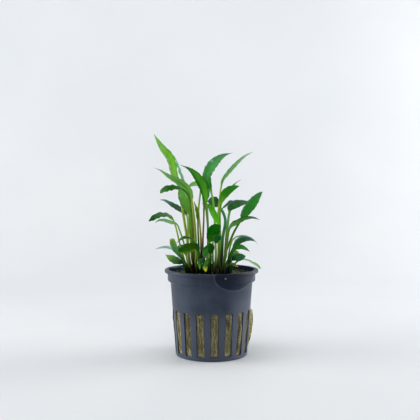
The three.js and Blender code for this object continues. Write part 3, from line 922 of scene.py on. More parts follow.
@dataclass
class Strands:
    """Collects many fine strands into one mesh."""

    points: list[np.ndarray] = field(default_factory=list)
    faces: Faces = field(default_factory=list)
    tints: list[tuple[float, ...]] = field(default_factory=list)

    def add(
        self, line: Sequence[Spot], thick: float, tint: Colour, sides: int = 3, taper: float = 0.25
    ) -> None:
        """Adds one strand.

        Args:
            line: The points that it follows, in millimetres.
            thick: Its radius at its start.
            tint: Its display colour.
            sides: How many sides it has.
            taper: The share of its radius that is left at its end.
        """
        spots = np.array(line, float)
        start, count = len(self.points), len(spots)
        colour = (*linear(tint), 1.0)
        for index, (spot, way) in enumerate(zip(spots, np.gradient(spots, axis=0))):
            way = way / max(np.linalg.norm(way), 1e-9)
            # across the strand, whichever way it runs
            side = np.cross(way, (0.31, 0.17, 0.93) if abs(way[2]) < 0.9 else (1.0, 0.2, 0.0))
            side /= max(np.linalg.norm(side), 1e-9)
            other = np.cross(way, side)
            radius = thick * (1 - (1 - taper) * index / (count - 1))
            for step in range(sides):
                angle = FULL_TURN * step / sides
                self.points.append(spot + radius * (math.cos(angle) * side + math.sin(angle) * other))
                self.tints.append(colour)
        self.faces += Mould.tube(count, sides, start)

    def build(self, name: str, finish: bpy.types.Material) -> bpy.types.Object:
        """Returns the strands as one piece."""
        piece = Mould.piece(name, np.array(self.points), self.faces, finish, {"tint": np.array(self.tints)})
        return Mould.belongs(piece, Slot.WOOL)


@dataclass
class Rockwool:
    """The plug of rockwool that swells through the slots, with its moss, loose fibres and roots.

    Attributes:
        side_heights: The heights between which its side is ringed.
        clearance: The air between the wool and the pot.
        side_gap: The air between the wool and a slot's sides.
        stand_out: How far the wool stands out at the ends of a slot.
        swell_height: The height where it swells most, and swell_reach how far up and down it swells.
        slot_radius: The pot's radius at the slots, which turns a place across a slot into an angle.
        moss_count: How many strands of moss are tried.
        moss_edge: The radius that no tip of moss passes.
        crown_gap: How far the moss stays from the middle of a crown.
        fibre_spread: How far from a slot's middle a loose fibre starts, and fibre_limit how far it runs.
        root_spread: How far from a slot's middle a root starts, and root_limit how far it runs.
        swells: How far the wool bulges at each slot, from the first slot towards +X.
        left_shade: How dark it is in each slot's left half: painted shade where the wool sits back behind
            the pot's wall.
        right_shade: How dark it is in each slot's right half: painted shade where the wool sits back behind
            the pot's wall.
        golden: How golden it is at each slot.
        moss_shades: The display colours of the moss, the most frequent first.
    """

    pot: NetPot
    foot: float = 1.5
    top: float = 46.6
    side_heights: tuple[float, float] = (1.9, 45.4)
    around: int = 480
    body_rings: int = 96
    lid_radii: tuple[float, ...] = (
        22.6, 22, 21.2, 20, 18.6, 17, 15.3, 13.5, 11.6, 9.6, 7.5, 5.4, 3.2, 1.2
    )
    clearance: float = 0.15
    side_gap: float = 0.12
    stand_out: float = 0.35
    swell_height: float = 18
    swell_reach: float = 15.5
    slot_radius: float = 22
    moss_count: int = 4200
    moss_radius: float = 22.3
    moss_edge: float = 23.6
    crown_gap: float = 2.2
    moss_seed: int = 17
    fibres_per_slot: int = 115
    fibre_spread: float = 1.7
    fibre_limit: float = 2.0
    fibre_seed: int = 29
    roots_per_slot: int = 3
    root_spread: float = 1.5
    root_limit: float = 2.05
    root_seed: int = 41
    swells: tuple[float, ...] = (
        0.2, 0.4, -0.2, -0.4, 2, 0.9, 0.3, 0.7, 0.4, 1, 0.6, 0.2, 0.8, -0.3, 0.1, -0.3, 0.3
    )
    left_shade: tuple[float, ...] = (
        0.4, 0.3, 0.8, 0.1, 0, 0.1, 0.5, 0.2, 0.4, 0.1, 0.7, 0.3, 0.5, 0.6, 0.3, 0.7, 0.6
    )
    right_shade: tuple[float, ...] = (
        0.2, 0.5, 0, 0.7, 0, 0.4, 0.2, 0.6, 0.4, 0.3, 0.3, 0.8, 0.1, 0.6, 0, 0.3, 0.3
    )
    golden: tuple[float, ...] = (
        0.1, 0, 0.3, 0.5, 1, 0.4, 0, 0.2, 0, 0.5, 0.1, 0, 0.3, 0, 0.8, 0.2, 0.1
    )
    moss_shades: tuple[Colour, ...] = (
        (88, 110, 46), (66, 86, 36), (120, 124, 64), (52, 50, 28), (148, 140, 90), (58, 94, 36)
    )
    fibre_shades: tuple[Colour, ...] = (
        (176, 164, 104), (150, 138, 84), (112, 104, 60), (190, 180, 128), (88, 80, 44)
    )
    root_shades: tuple[Colour, ...] = (
        (196, 180, 126), (170, 152, 96), (214, 204, 158), (120, 98, 54)
    )

    def skin(self, bearing: float, height: float) -> float:
        """Works out how far the wool reaches out.

        Args:
            bearing: The bearing in radians.
            height: The height in millimetres.

        Returns:
            The plug's radius there.
        """
        pot = self.pot
        body = pot.radius(height)
        pitch = FULL_TURN / pot.slots
        index = round((bearing - pot.bearing(0)) / pitch)
        off = abs(bearing - pot.bearing(0) - index * pitch) * body
        inside = smooth((pot.slot_width / 2 - self.side_gap - off) / 0.5)
        below = smooth((pot.slot_top - self.clearance - height) / 1.2)
        above = smooth((height - pot.slot_foot - self.clearance) / 1.2)
        hump = max(0.0, 1 - ((height - self.swell_height) / self.swell_reach) ** 2)
        reach = self.stand_out + (self.swells[index % pot.slots] + 0.45) * hump
        x, y, _ = bearing_spot(body, bearing, height)
        fuzz = 0.16 * lump(x, y, height * 0.5, 1.4) + 0.22 * lump(x, y, height, 4.5)
        matted = 0.08 * lump(x, y, height, 2.0)
        inner = body - pot.wall - self.clearance
        return inner + float(inside * (below * above)) * (reach + fuzz) - 0.12 + matted

    def shade_and_gold(self, bearing: float) -> tuple[float, float]:
        """Works out the colour of the wool at a bearing.

        Args:
            bearing: The bearing in radians.

        Returns:
            How dark the wool is there with painted shade, and how golden it is.
        """
        turns = (bearing - self.pot.bearing(0)) / (FULL_TURN / self.pot.slots)
        index = round(turns)
        side = float(smooth((turns - index) * 2.4 + 0.5))
        slot = index % self.pot.slots
        return self.left_shade[slot] * (1 - side) + self.right_shade[slot] * side, self.golden[slot]

    def lid(self, x: float, y: float) -> float:
        """Returns the height of the wool's lumpy top, which rises a little to its rim."""
        rim = float(smooth((math.hypot(x, y) - 15) / 8))
        return self.top - 0.35 + 0.45 * lump(x, y, 3.0, 4.5) + 0.2 * lump(x, y, 9.0, 1.6) + 0.5 * rim

    def build(self) -> bpy.types.Object:
        """Builds the plug.

        Returns:
            Its piece.
        """
        heights = (self.foot, *np.linspace(*self.side_heights, self.body_rings))
        turns = np.linspace(0, FULL_TURN, self.around, endpoint=False)
        points = [
            bearing_spot(self.skin(turn, height), turn, height) for height in heights for turn in turns
        ]
        for radius in self.lid_radii:
            for turn in turns:
                x, y, _ = bearing_spot(radius, turn, 0)
                points.append((x, y, self.lid(x, y)))
        faces = Mould.turned(len(heights) + len(self.lid_radii), self.around)
        points += [(0, 0, self.foot), (0, 0, self.lid(0, 0))]
        # the painted shade and the gold of the wool in the slots
        shade_and_gold = np.zeros((len(points), 3))
        for row, (x, y, z) in enumerate(points):
            if z < self.pot.slot_top + 2:
                shade_and_gold[row, :2] = self.shade_and_gold(math.atan2(x, -y))
        finish = WoolFibre().material()
        plug = Mould.piece("rockwool_plug", np.array(points), faces, finish, {"shade_and_gold": shade_and_gold})
        return Mould.belongs(plug, Slot.WOOL, "rockwool")

    def tuft(self, rng: random.Random, x: float, y: float, thick: float) -> list[Spot]:
        """Draws the line of one strand of moss.

        Args:
            rng: The moss's random numbers.
            x: Where it grows.
            y: Where it grows.
            thick: How thick the moss is there, from -1 to 1.

        Returns:
            The strand's points.
        """
        outer = 0.8 * float(smooth((math.hypot(x, y) - 12) / 9))
        tall = 0.5 + 1.3 * max(0.0, thick + 0.3) + 0.5 * rng.random() + outer
        lean, bend = rng.uniform(0.1, 1.5), rng.uniform(0, FULL_TURN)
        foot = self.lid(x, y) - 0.15
        line = []
        for step in range(4):
            share = step / 3
            out = tall * lean * share**1.4
            tip_x, tip_y = x + out * math.cos(bend), y + out * math.sin(bend)
            reach = math.hypot(tip_x, tip_y)
            scale = 1 - max(0.0, reach - self.moss_edge) / max(reach, 1e-6)
            line.append((tip_x * scale, tip_y * scale, foot + tall * share * (1 - 0.3 * lean * share)))
        return line

    def build_moss(self, crowns: Sequence[tuple[float, float]]) -> bpy.types.Object:
        """Builds the short moss and fibres on the plug's top.

        Args:
            crowns: The places of the crowns, which the moss stays clear of.

        Returns:
            Their piece.
        """
        rng = random.Random(self.moss_seed)
        strands = Strands()
        for _ in range(self.moss_count):
            radius, turn = self.moss_radius * math.sqrt(rng.random()), rng.uniform(0, FULL_TURN)
            x, y, _ = bearing_spot(radius, turn, 0)
            thick = lump(x, y, 20.0, 5.0)
            if thick < -0.3 or min(math.hypot(x - cx, y - cy) for cx, cy in crowns) < self.crown_gap:
                continue
            line = self.tuft(rng, x, y, thick)
            kinds = len(self.moss_shades)
            tint = self.moss_shades[min(int(rng.random() ** 1.3 * kinds), kinds - 1)]
            strands.add(line, rng.uniform(0.05, 0.12), tint)
        return strands.build("moss_and_fibres", TintedFibre("mossy_fibre").material())

    def over_wool(self, index: int, across: float, height: float, out: float) -> Spot:
        """Returns the point over the wool at a place across a slot, a little way out."""
        bearing = self.pot.bearing(index) + across / self.pot.radius(height)
        return bearing_spot(self.skin(bearing, height) + out, bearing, height)

    def in_painted_shade(self, tint: Colour, index: int, off: float, depth: float) -> Colour:
        """Returns a tint darkened by the painted shade of the wool in a slot."""
        dark = 1 - depth * self.shade_and_gold(self.pot.bearing(index) + off / self.slot_radius)[0]
        return tuple(channel * dark for channel in tint)

    def build_loose(self) -> bpy.types.Object:
        """Builds the fine fibres that stand off the wool in the slots.

        Returns:
            Their piece.
        """
        rng = random.Random(self.fibre_seed)
        strands = Strands()
        pot = self.pot
        for index in range(pot.slots):
            for _ in range(self.fibres_per_slot):
                height = rng.uniform(pot.slot_foot + 1, pot.slot_top - 2.5)
                off = rng.uniform(-self.fibre_spread, self.fibre_spread)
                slant, length = rng.gauss(0, 0.25), rng.uniform(2.5, 7.5)
                line = []
                for step in range(5):
                    share = step / 4
                    z = min(height + length * share, pot.slot_top - 0.6)
                    across = off + slant * length * share + 0.25 * math.sin(5 * share + off)
                    out = 0.06 + 0.3 * math.sin(math.pi * share) * rng.random()
                    line.append(self.over_wool(index, within(across, self.fibre_limit), z, out))
                tint = self.in_painted_shade(rng.choice(self.fibre_shades), index, off, 0.6)
                strands.add(line, rng.uniform(0.05, 0.11), tint, taper=0.4)
        return strands.build("loose_fibres", TintedFibre("loose_fibre").material())

    def build_roots(self) -> bpy.types.Object:
        """Builds the roots that wander over the wool behind the slots.

        Returns:
            Their piece.
        """
        rng = random.Random(self.root_seed)
        strands = Strands()
        for index in range(self.pot.slots):
            for number in range(self.roots_per_slot):
                off, wander = rng.uniform(-self.root_spread, self.root_spread), rng.uniform(0.3, 1.1)
                low, high = rng.uniform(2.8, 9), rng.uniform(17, 25)
                line = []
                for step in range(18):
                    share = step / 17
                    across = off + wander * math.sin(2.2 * math.pi * share + 2 * number + index)
                    across = within(across, self.root_limit)
                    line.append(self.over_wool(index, across, high - (high - low) * share, 0.12))
                tint = self.in_painted_shade(rng.choice(self.root_shades), index, off, 0.55)
                strands.add(line, rng.uniform(0.14, 0.3), tint, sides=6, taper=0.5)
        return strands.build("fine_roots", TintedFibre("root_skin", 0.6).material())


def sighted(spot: Spot) -> np.ndarray:
    """Returns the point at a depth that is seen at a place in the upright plane through the axis."""
    across, up, depth = spot
    return EYE + (np.array((across, 0.0, up)) - EYE) * (1 - depth / EYE[1])


class Line:
    """A smooth line through points, stepped by its own length."""

    def __init__(self, spots: np.ndarray, parts: int = 400) -> None:
        """Samples a centripetal spline through the points.

        Args:
            spots: The points, one a row.
            parts: How many steps the line is sampled in.
        """
        last = len(spots) - 1
        padded = np.vstack([2 * spots[0] - spots[1], spots, 2 * spots[-1] - spots[-2]])
        shares = np.linspace(0, last, parts + 1)
        index = np.minimum(shares.astype(int), last - 1)
        weight = (shares - index)[:, None]
        before, start, end, after = (padded[index + place] for place in range(4))
        lead, step, trail = start - before, end - start, after - end
        # the spacings of the knots, as square roots of the gaps
        r0, r1, r2 = (
            np.maximum(np.linalg.norm(gap, axis=1), 1e-8)[:, None] ** 0.5 for gap in (lead, step, trail)
        )
        enter = (lead / r0 - (end - before) / (r0 + r1) + step / r1) * r1
        leave = (step / r1 - (after - start) / (r1 + r2) + trail / r2) * r1
        bend = 3 * step - 2 * enter - leave
        twist = -2 * step + enter + leave
        self.spots = start + enter * weight + bend * weight**2 + twist * weight**3
        lengths = np.linalg.norm(np.diff(self.spots, axis=0), axis=1)
        self.lengths = np.concatenate(([0.0], np.cumsum(lengths)))
        self.length = float(self.lengths[-1])

    def share_of(self, share: float) -> float:
        """Returns how much of the length lies before an even share of the points."""
        return float(self.lengths[round((len(self.lengths) - 1) * share)] / self.length)

    def at(self, shares: np.ndarray) -> np.ndarray:
        """Returns the points at shares of the length."""
        reached = shares * self.length
        return np.stack([np.interp(reached, self.lengths, column) for column in self.spots.T], 1)


@dataclass
class Rings:
    """The rings of points that a leaf is made of, from its foot to its tip.

    Attributes:
        at: Each ring's share of the leaf's length.
        stalk: Its share of the stalk, 1 in the blade.
        share: Its share of the blade, 0 in the stalk.
        thin: How far it has turned from stalk to blade, from 0 to 1.
        centre: Its middle.
        height: Its height over the leaf's foot in millimetres.
        length: The leaf's length.
        blade_length: The blade's length.
        cosine: Each point's place across a ring, from -1 to 1.
        sine: Each point's place above or below the middle of a ring, from -1 to 1.
    """

    at: np.ndarray
    stalk: np.ndarray
    share: np.ndarray
    thin: np.ndarray
    centre: np.ndarray
    height: np.ndarray
    length: float
    blade_length: float
    cosine: np.ndarray
    sine: np.ndarray


@dataclass(frozen=True)
class Leaf:
    """One leaf.

    Attributes:
        slot: Its material slot.
        around: The side of the crown where it grows, in degrees from +X towards +Y.
        blade: The number of the point of its spine where the blade starts.
        width: The blade's width in millimetres.
        spine: The points that it follows: across, up and depth as the camera sights them.
        greens: Its colours.
        widest: The share of the blade's length where it is widest.
        taper: The power of its narrowing to the tip, more for a sharper tip.
        turn: The turn of its blade about its length in degrees, at its base and its tip.
        stalk: The stalk's radius.
        rise: The power of its widening from the stalk, less for a rounder base.
        grows_at: How far from the middle of the crown it grows.
        foot: The height of its foot.
        narrows: How much thinner the stalk is at its top, as a share.
        sheath: How much thicker the stalk is at its foot, as a share.
        sheath_height: The height in millimetres over which that fades.
        rib_width: How wide the rib under the blade is, as a share of the half width.
        rib_depth: How far it stands out at the blade's base, as a share of the stalk's radius.
        half_thick: Half the blade's thickness at its base.
        thins: How much thinner that is at the tip.
        fold: How far the blade's sides fold up, as a share of its half width.
        frills: The waves of the blade's outline, as shares of its half width.
        ripple: The waves of its sides out of its face, as a share of its half width.
        ring: How many points a ring has.
        tip_colour: The display colour of its dried tip.
    """

    slot: Slot
    around: float
    blade: int
    width: float
    spine: tuple[Spot, ...]
    greens: Greens
    widest: float = 0.45
    taper: float = 1.0
    turn: tuple[float, float] = (0, 0)
    stalk: float = 0.6
    rise: float = 0.8
    grows_at: float = 2.7
    foot: float = 46.9
    narrows: float = 0.25
    sheath: float = 0.3
    sheath_height: float = 3.5
    rib_width: float = 0.16
    rib_depth: float = 0.55
    half_thick: float = 0.17
    thins: float = 0.09
    fold: float = 0.22
    frills: tuple[float, float] = (0.034, 0.03)
    ripple: float = 0.11
    stalk_rows: int = 30
    blade_rows: int = 52
    ring: int = 28
    tip_colour: Colour = (84, 82, 58)

    def half_width(self, share: np.ndarray) -> np.ndarray:
        """Works out the blade's outline.

        Args:
            share: Shares of the blade's length.

        Returns:
            The blade's half width at each share.
        """
        rising = np.sin(np.clip(share / self.widest, 0, 1) * math.pi / 2) ** self.rise
        falling = np.cos(np.clip((share - self.widest) / (1 - self.widest), 0, 1) * math.pi / 2)
        falling = np.maximum(falling, 0) ** self.taper
        return self.width / 2 * np.where(share < self.widest, rising, falling)

    def rings(self, crown: tuple[float, float]) -> tuple[Rings, np.ndarray]:
        """Sets the rings along the leaf.

        Args:
            crown: Where its crown stands.

        Returns:
            The rings, and the way that the leaf runs at each of them.
        """
        bearing = math.radians(self.around)
        x, y = crown[0] + self.grows_at * math.cos(bearing), crown[1] + self.grows_at * math.sin(bearing)
        foot = np.array((x, y, self.foot))
        line = Line(np.vstack([foot, foot + (0, 0, 2), *(sighted(spot) for spot in self.spine)]))
        begin = line.share_of((self.blade + 1) / (len(self.spine) + 1))
        stalk = np.linspace(0, 1, self.stalk_rows, endpoint=False)
        blade = np.linspace(0, 1, self.blade_rows)
        at = np.concatenate([stalk * begin, begin + blade * (1 - begin)])
        near = 0.004
        along = line.at(np.minimum(at + near, 1)) - line.at(np.maximum(at - near, 0))
        centre = line.at(at)
        share = np.concatenate([np.zeros(self.stalk_rows), blade])
        angles = np.linspace(0, FULL_TURN, self.ring, endpoint=False)
        rings = Rings(
            at=at,
            stalk=np.concatenate([stalk, np.ones(self.blade_rows)]),
            share=share,
            thin=smooth(share / 0.14),
            centre=centre,
            height=centre[:, 2] - foot[2],
            length=line.length,
            blade_length=line.length * (1 - begin),
            cosine=np.cos(angles),
            sine=np.sin(angles),
        )
        return rings, along / np.linalg.norm(along, axis=1)[:, None]

    def frames(self, rings: Rings, along: np.ndarray) -> tuple[np.ndarray, np.ndarray]:
        """Turns each ring about the way that the leaf runs.

        Args:
            rings: The leaf's rings.
            along: The way that the leaf runs at each of them.

        Returns:
            The directions to the side and out of the face of each ring.
        """
        turn = np.radians(self.turn[0] + (self.turn[1] - self.turn[0]) * rings.share)
        side, face, across = np.empty_like(along), np.empty_like(along), np.array((1.0, 0.0, 0.0))
        for row, way in enumerate(along):
            across = across - np.dot(across, way) * way
            across /= np.linalg.norm(across)
            other = np.cross(way, across)
            side[row] = across * math.cos(turn[row]) - other * math.sin(turn[row])
            face[row] = np.cross(side[row], way)
        return side, face

    def section(self, rings: Rings, seed: int) -> tuple[np.ndarray, np.ndarray]:
        """Shapes the leaf across: a round stalk that opens into a thin blade with a rib, a fold and waves.

        Args:
            rings: The leaf's rings.
            seed: A number of its own for its waves.

        Returns:
            How far each point of each ring lies to the side, and how far out of the face.
        """
        rng = random.Random(seed)
        phase, pace = rng.uniform(0, 6.28), rng.uniform(3.6, 5.2)
        share, thin, cosine, sine = rings.share, rings.thin, rings.cosine, rings.sine
        place = share * rings.blade_length
        beat = place * FULL_TURN / pace + phase
        frill = self.frills[0] * np.sin(beat) + self.frills[1] * np.sin(1.63 * beat + 2)
        profile = self.half_width(share) * (1 + frill)
        sheath = 1 + self.sheath * np.exp(-rings.height / self.sheath_height)
        stalk = self.stalk * (1 - self.narrows * rings.stalk) * sheath
        half = np.sqrt((stalk * (1 - share)) ** 2 + profile**2) + 0.03
        depth = stalk * (1 - thin) + (self.half_thick - self.thins * share) * thin
        rib = np.exp(-((cosine / self.rib_width) ** 2)) * (sine < 0)
        rib_depth = thin * stalk * self.rib_depth * (1 - share) ** 0.8
        fold = self.fold * (np.sqrt(cosine**2 + 0.01) - 0.1)
        ripple = np.sin(place[:, None] * FULL_TURN / (pace * 0.9) + phase + np.sign(cosine) * 1.1)
        lift = depth[:, None] * sine - rib_depth[:, None] * rib
        lift += thin[:, None] * profile[:, None] * fold
        lift += self.ripple * (thin * profile)[:, None] * cosine**2 * ripple
        return half[:, None] * cosine, lift

    def stem_and_blade(self, rings: Rings) -> np.ndarray:
        """Works out the colours before margins, rib and stain are painted.

        Args:
            rings: The leaf's rings.

        Returns:
            Scene-linear colours as an array of rings, points and three channels.
        """
        greens, share = self.greens, rings.share
        foot, middle, top = (np.array(linear(colour)) for colour in greens.stem.value)
        base, half, tip = (np.array(linear(colour)) for colour in (greens.base, greens.middle, greens.tip))
        # painted shade: the stalk is dark low down, where the stalks crowd together
        low = smooth((rings.height - greens.foot_shade_height) / 11 + 0.5)[:, None]
        high = smooth((rings.stalk - 0.45) / 0.55)[:, None]
        stem = (foot * (1 - low) + middle * low) * (1 - high) + top * high
        lower = smooth(share / 0.5)[:, None]
        upper = smooth((share - greens.turns) / (0.95 - greens.turns))[:, None]
        blade = (base * (1 - lower) + half * lower) * (1 - upper) + tip * upper
        middle_rib = (1 - smooth(np.abs(rings.cosine) / 0.12)) * (1 - smooth(share / 0.7))[:, None] * 0.2
        spread = np.clip(smooth(share / 0.12)[:, None] * (1 - middle_rib), 0, 1)[..., None]
        return stem[:, None, :] * (1 - spread) + blade[:, None, :] * spread

    def shades(self, rings: Rings) -> np.ndarray:
        """Works out the colour at each point of every ring.

        Args:
            rings: The leaf's rings.

        Returns:
            Scene-linear colours as an array of rings, points and four channels.
        """
        greens, share, across = self.greens, rings.share, rings.cosine
        off = np.abs(across)[None, :]
        grown = smooth(share / 0.12)[:, None]
        painted = []
        if greens.rib:
            fading = 1 - smooth((share - 0.35) / 0.25)
            painted.append((greens.rib, (1 - smooth(off / 0.14)) * grown * fading[:, None]))
        for sign, margin in ((-1, greens.minus), (1, greens.plus)):
            if margin:
                reached = smooth((across * sign - margin.start) / (0.97 - margin.start) * 1.6)[None, :]
                since = smooth((share - margin.since) * 8 + 1)[:, None]
                painted.append((margin.colour, reached * grown * since))
        # a stain, and on some leaves a painted highlight
        if greens.spot:
            spot = greens.spot
            ahead = ((share - spot.along) * rings.blade_length)[:, None]
            aside = (across - spot.across)[None, :] * self.width / 2
            painted.append((spot.colour, 1 - smooth(np.hypot(ahead, aside) / spot.radius)))
        dried = smooth((share - 0.95) / 0.05)[:, None] * 0.65
        painted.append((self.tip_colour, dried * np.ones_like(off)))
        colour = self.stem_and_blade(rings)
        for paint, where in painted:
            colour = colour * (1 - where[..., None]) + np.array(linear(paint)) * where[..., None]
        deep = np.maximum(colour * 1.3 - 0.011, 0.002)
        under = (smooth(-rings.sine / 0.5)[None, :] * rings.thin[:, None] * 0.35)[..., None]
        pale = deep * 1.05 + np.array((0.01, 0.016, 0.01))
        deep = deep * (1 - under) + pale * under
        return np.concatenate([deep, np.ones_like(deep[..., :1])], axis=2)

    def build(
        self, node: str, crown: tuple[float, float], seed: int, finish: bpy.types.Material
    ) -> bpy.types.Object:
        """Builds the leaf.

        Args:
            node: The solid that it stands for.
            crown: Where its crown stands.
            seed: A number of its own for its waves.
            finish: The leaf skin.

        Returns:
            Its piece.
        """
        rings, along = self.rings(crown)
        side, face = self.frames(rings, along)
        out, lift = self.section(rings, seed)
        middle = rings.centre[:, None, :]
        points = middle + side[:, None, :] * out[..., None] + face[:, None, :] * lift[..., None]
        values = (rings.cosine[None, :], (rings.at * rings.length)[:, None], rings.thin[:, None])
        lie = np.stack([np.broadcast_to(value, out.shape) for value in values], axis=2)
        attributes = {"tint": self.shades(rings).reshape(-1, 4), "lie": lie.reshape(-1, 3)}
        faces = Mould.tube(len(rings.at), self.ring)
        piece = Mould.piece(node + "_blade", points.reshape(-1, 3), faces, finish, attributes)
        return Mould.belongs(piece, self.slot, node)


@dataclass(frozen=True)
class Plantlet:
    """A crown with its leaves.

    The crown has a radius, the heights of its foot and tip, and those between which it is widest.
    """

    name: str
    at: tuple[float, float]
    leaves: tuple[Leaf, ...]
    radius: float = 1.6
    foot: float = 43.4
    tip: float = 50.4
    widest: tuple[float, float] = (46.2, 47.7)
    around: int = 28

    def build_crown(self, finish: bpy.types.Material) -> bpy.types.Object:
        """Builds the crown, a short stock wrapped in old sheaths.

        Args:
            finish: The crown's skin.

        Returns:
            Its piece.
        """
        low, high = self.widest
        outline = (
            (0.05, self.foot, 0),
            (self.radius * 0.72, self.foot + 0.9, 0.5),
            (self.radius, low, 0.8),
            (self.radius, high, 0.7),
            (self.radius * 0.5, self.tip - 1, 0.7),
            (0.05, self.tip, 0),
        )
        profile = rounded(outline, 5)
        points = []
        for radius, height in profile:
            for step in range(self.around):
                angle = FULL_TURN * step / self.around
                ridges = 0.07 * math.sin(5 * angle + height * 0.8)
                wrap = 0.9 + ridges + 0.05 * lump(angle, height, self.at[0], 0.4)
                x = self.at[0] + radius * wrap * math.cos(angle)
                y = self.at[1] + radius * wrap * math.sin(angle)
                points.append((x, y, height))
        faces = Mould.tube(len(profile), self.around)
        crown = Mould.piece(f"crown_{self.name}_stock", np.array(points), faces, finish)
        return Mould.belongs(crown, Slot.CROWN, f"crown_{self.name}")

    def build(
        self, crown_finish: bpy.types.Material, skins: dict[Slot, bpy.types.Material], seed: int
    ) -> None:
        """Builds the crown and each of its leaves.

        Args:
            crown_finish: The crown's skin.
            skins: The leaf skin of each slot.
            seed: The seed of its first leaf, after which each leaf takes the next.
        """
        self.build_crown(crown_finish)
        for index, leaf in enumerate(self.leaves):
            leaf.build(f"leaf_{self.name}_{index + 1}", self.at, seed + index, skins[leaf.slot])


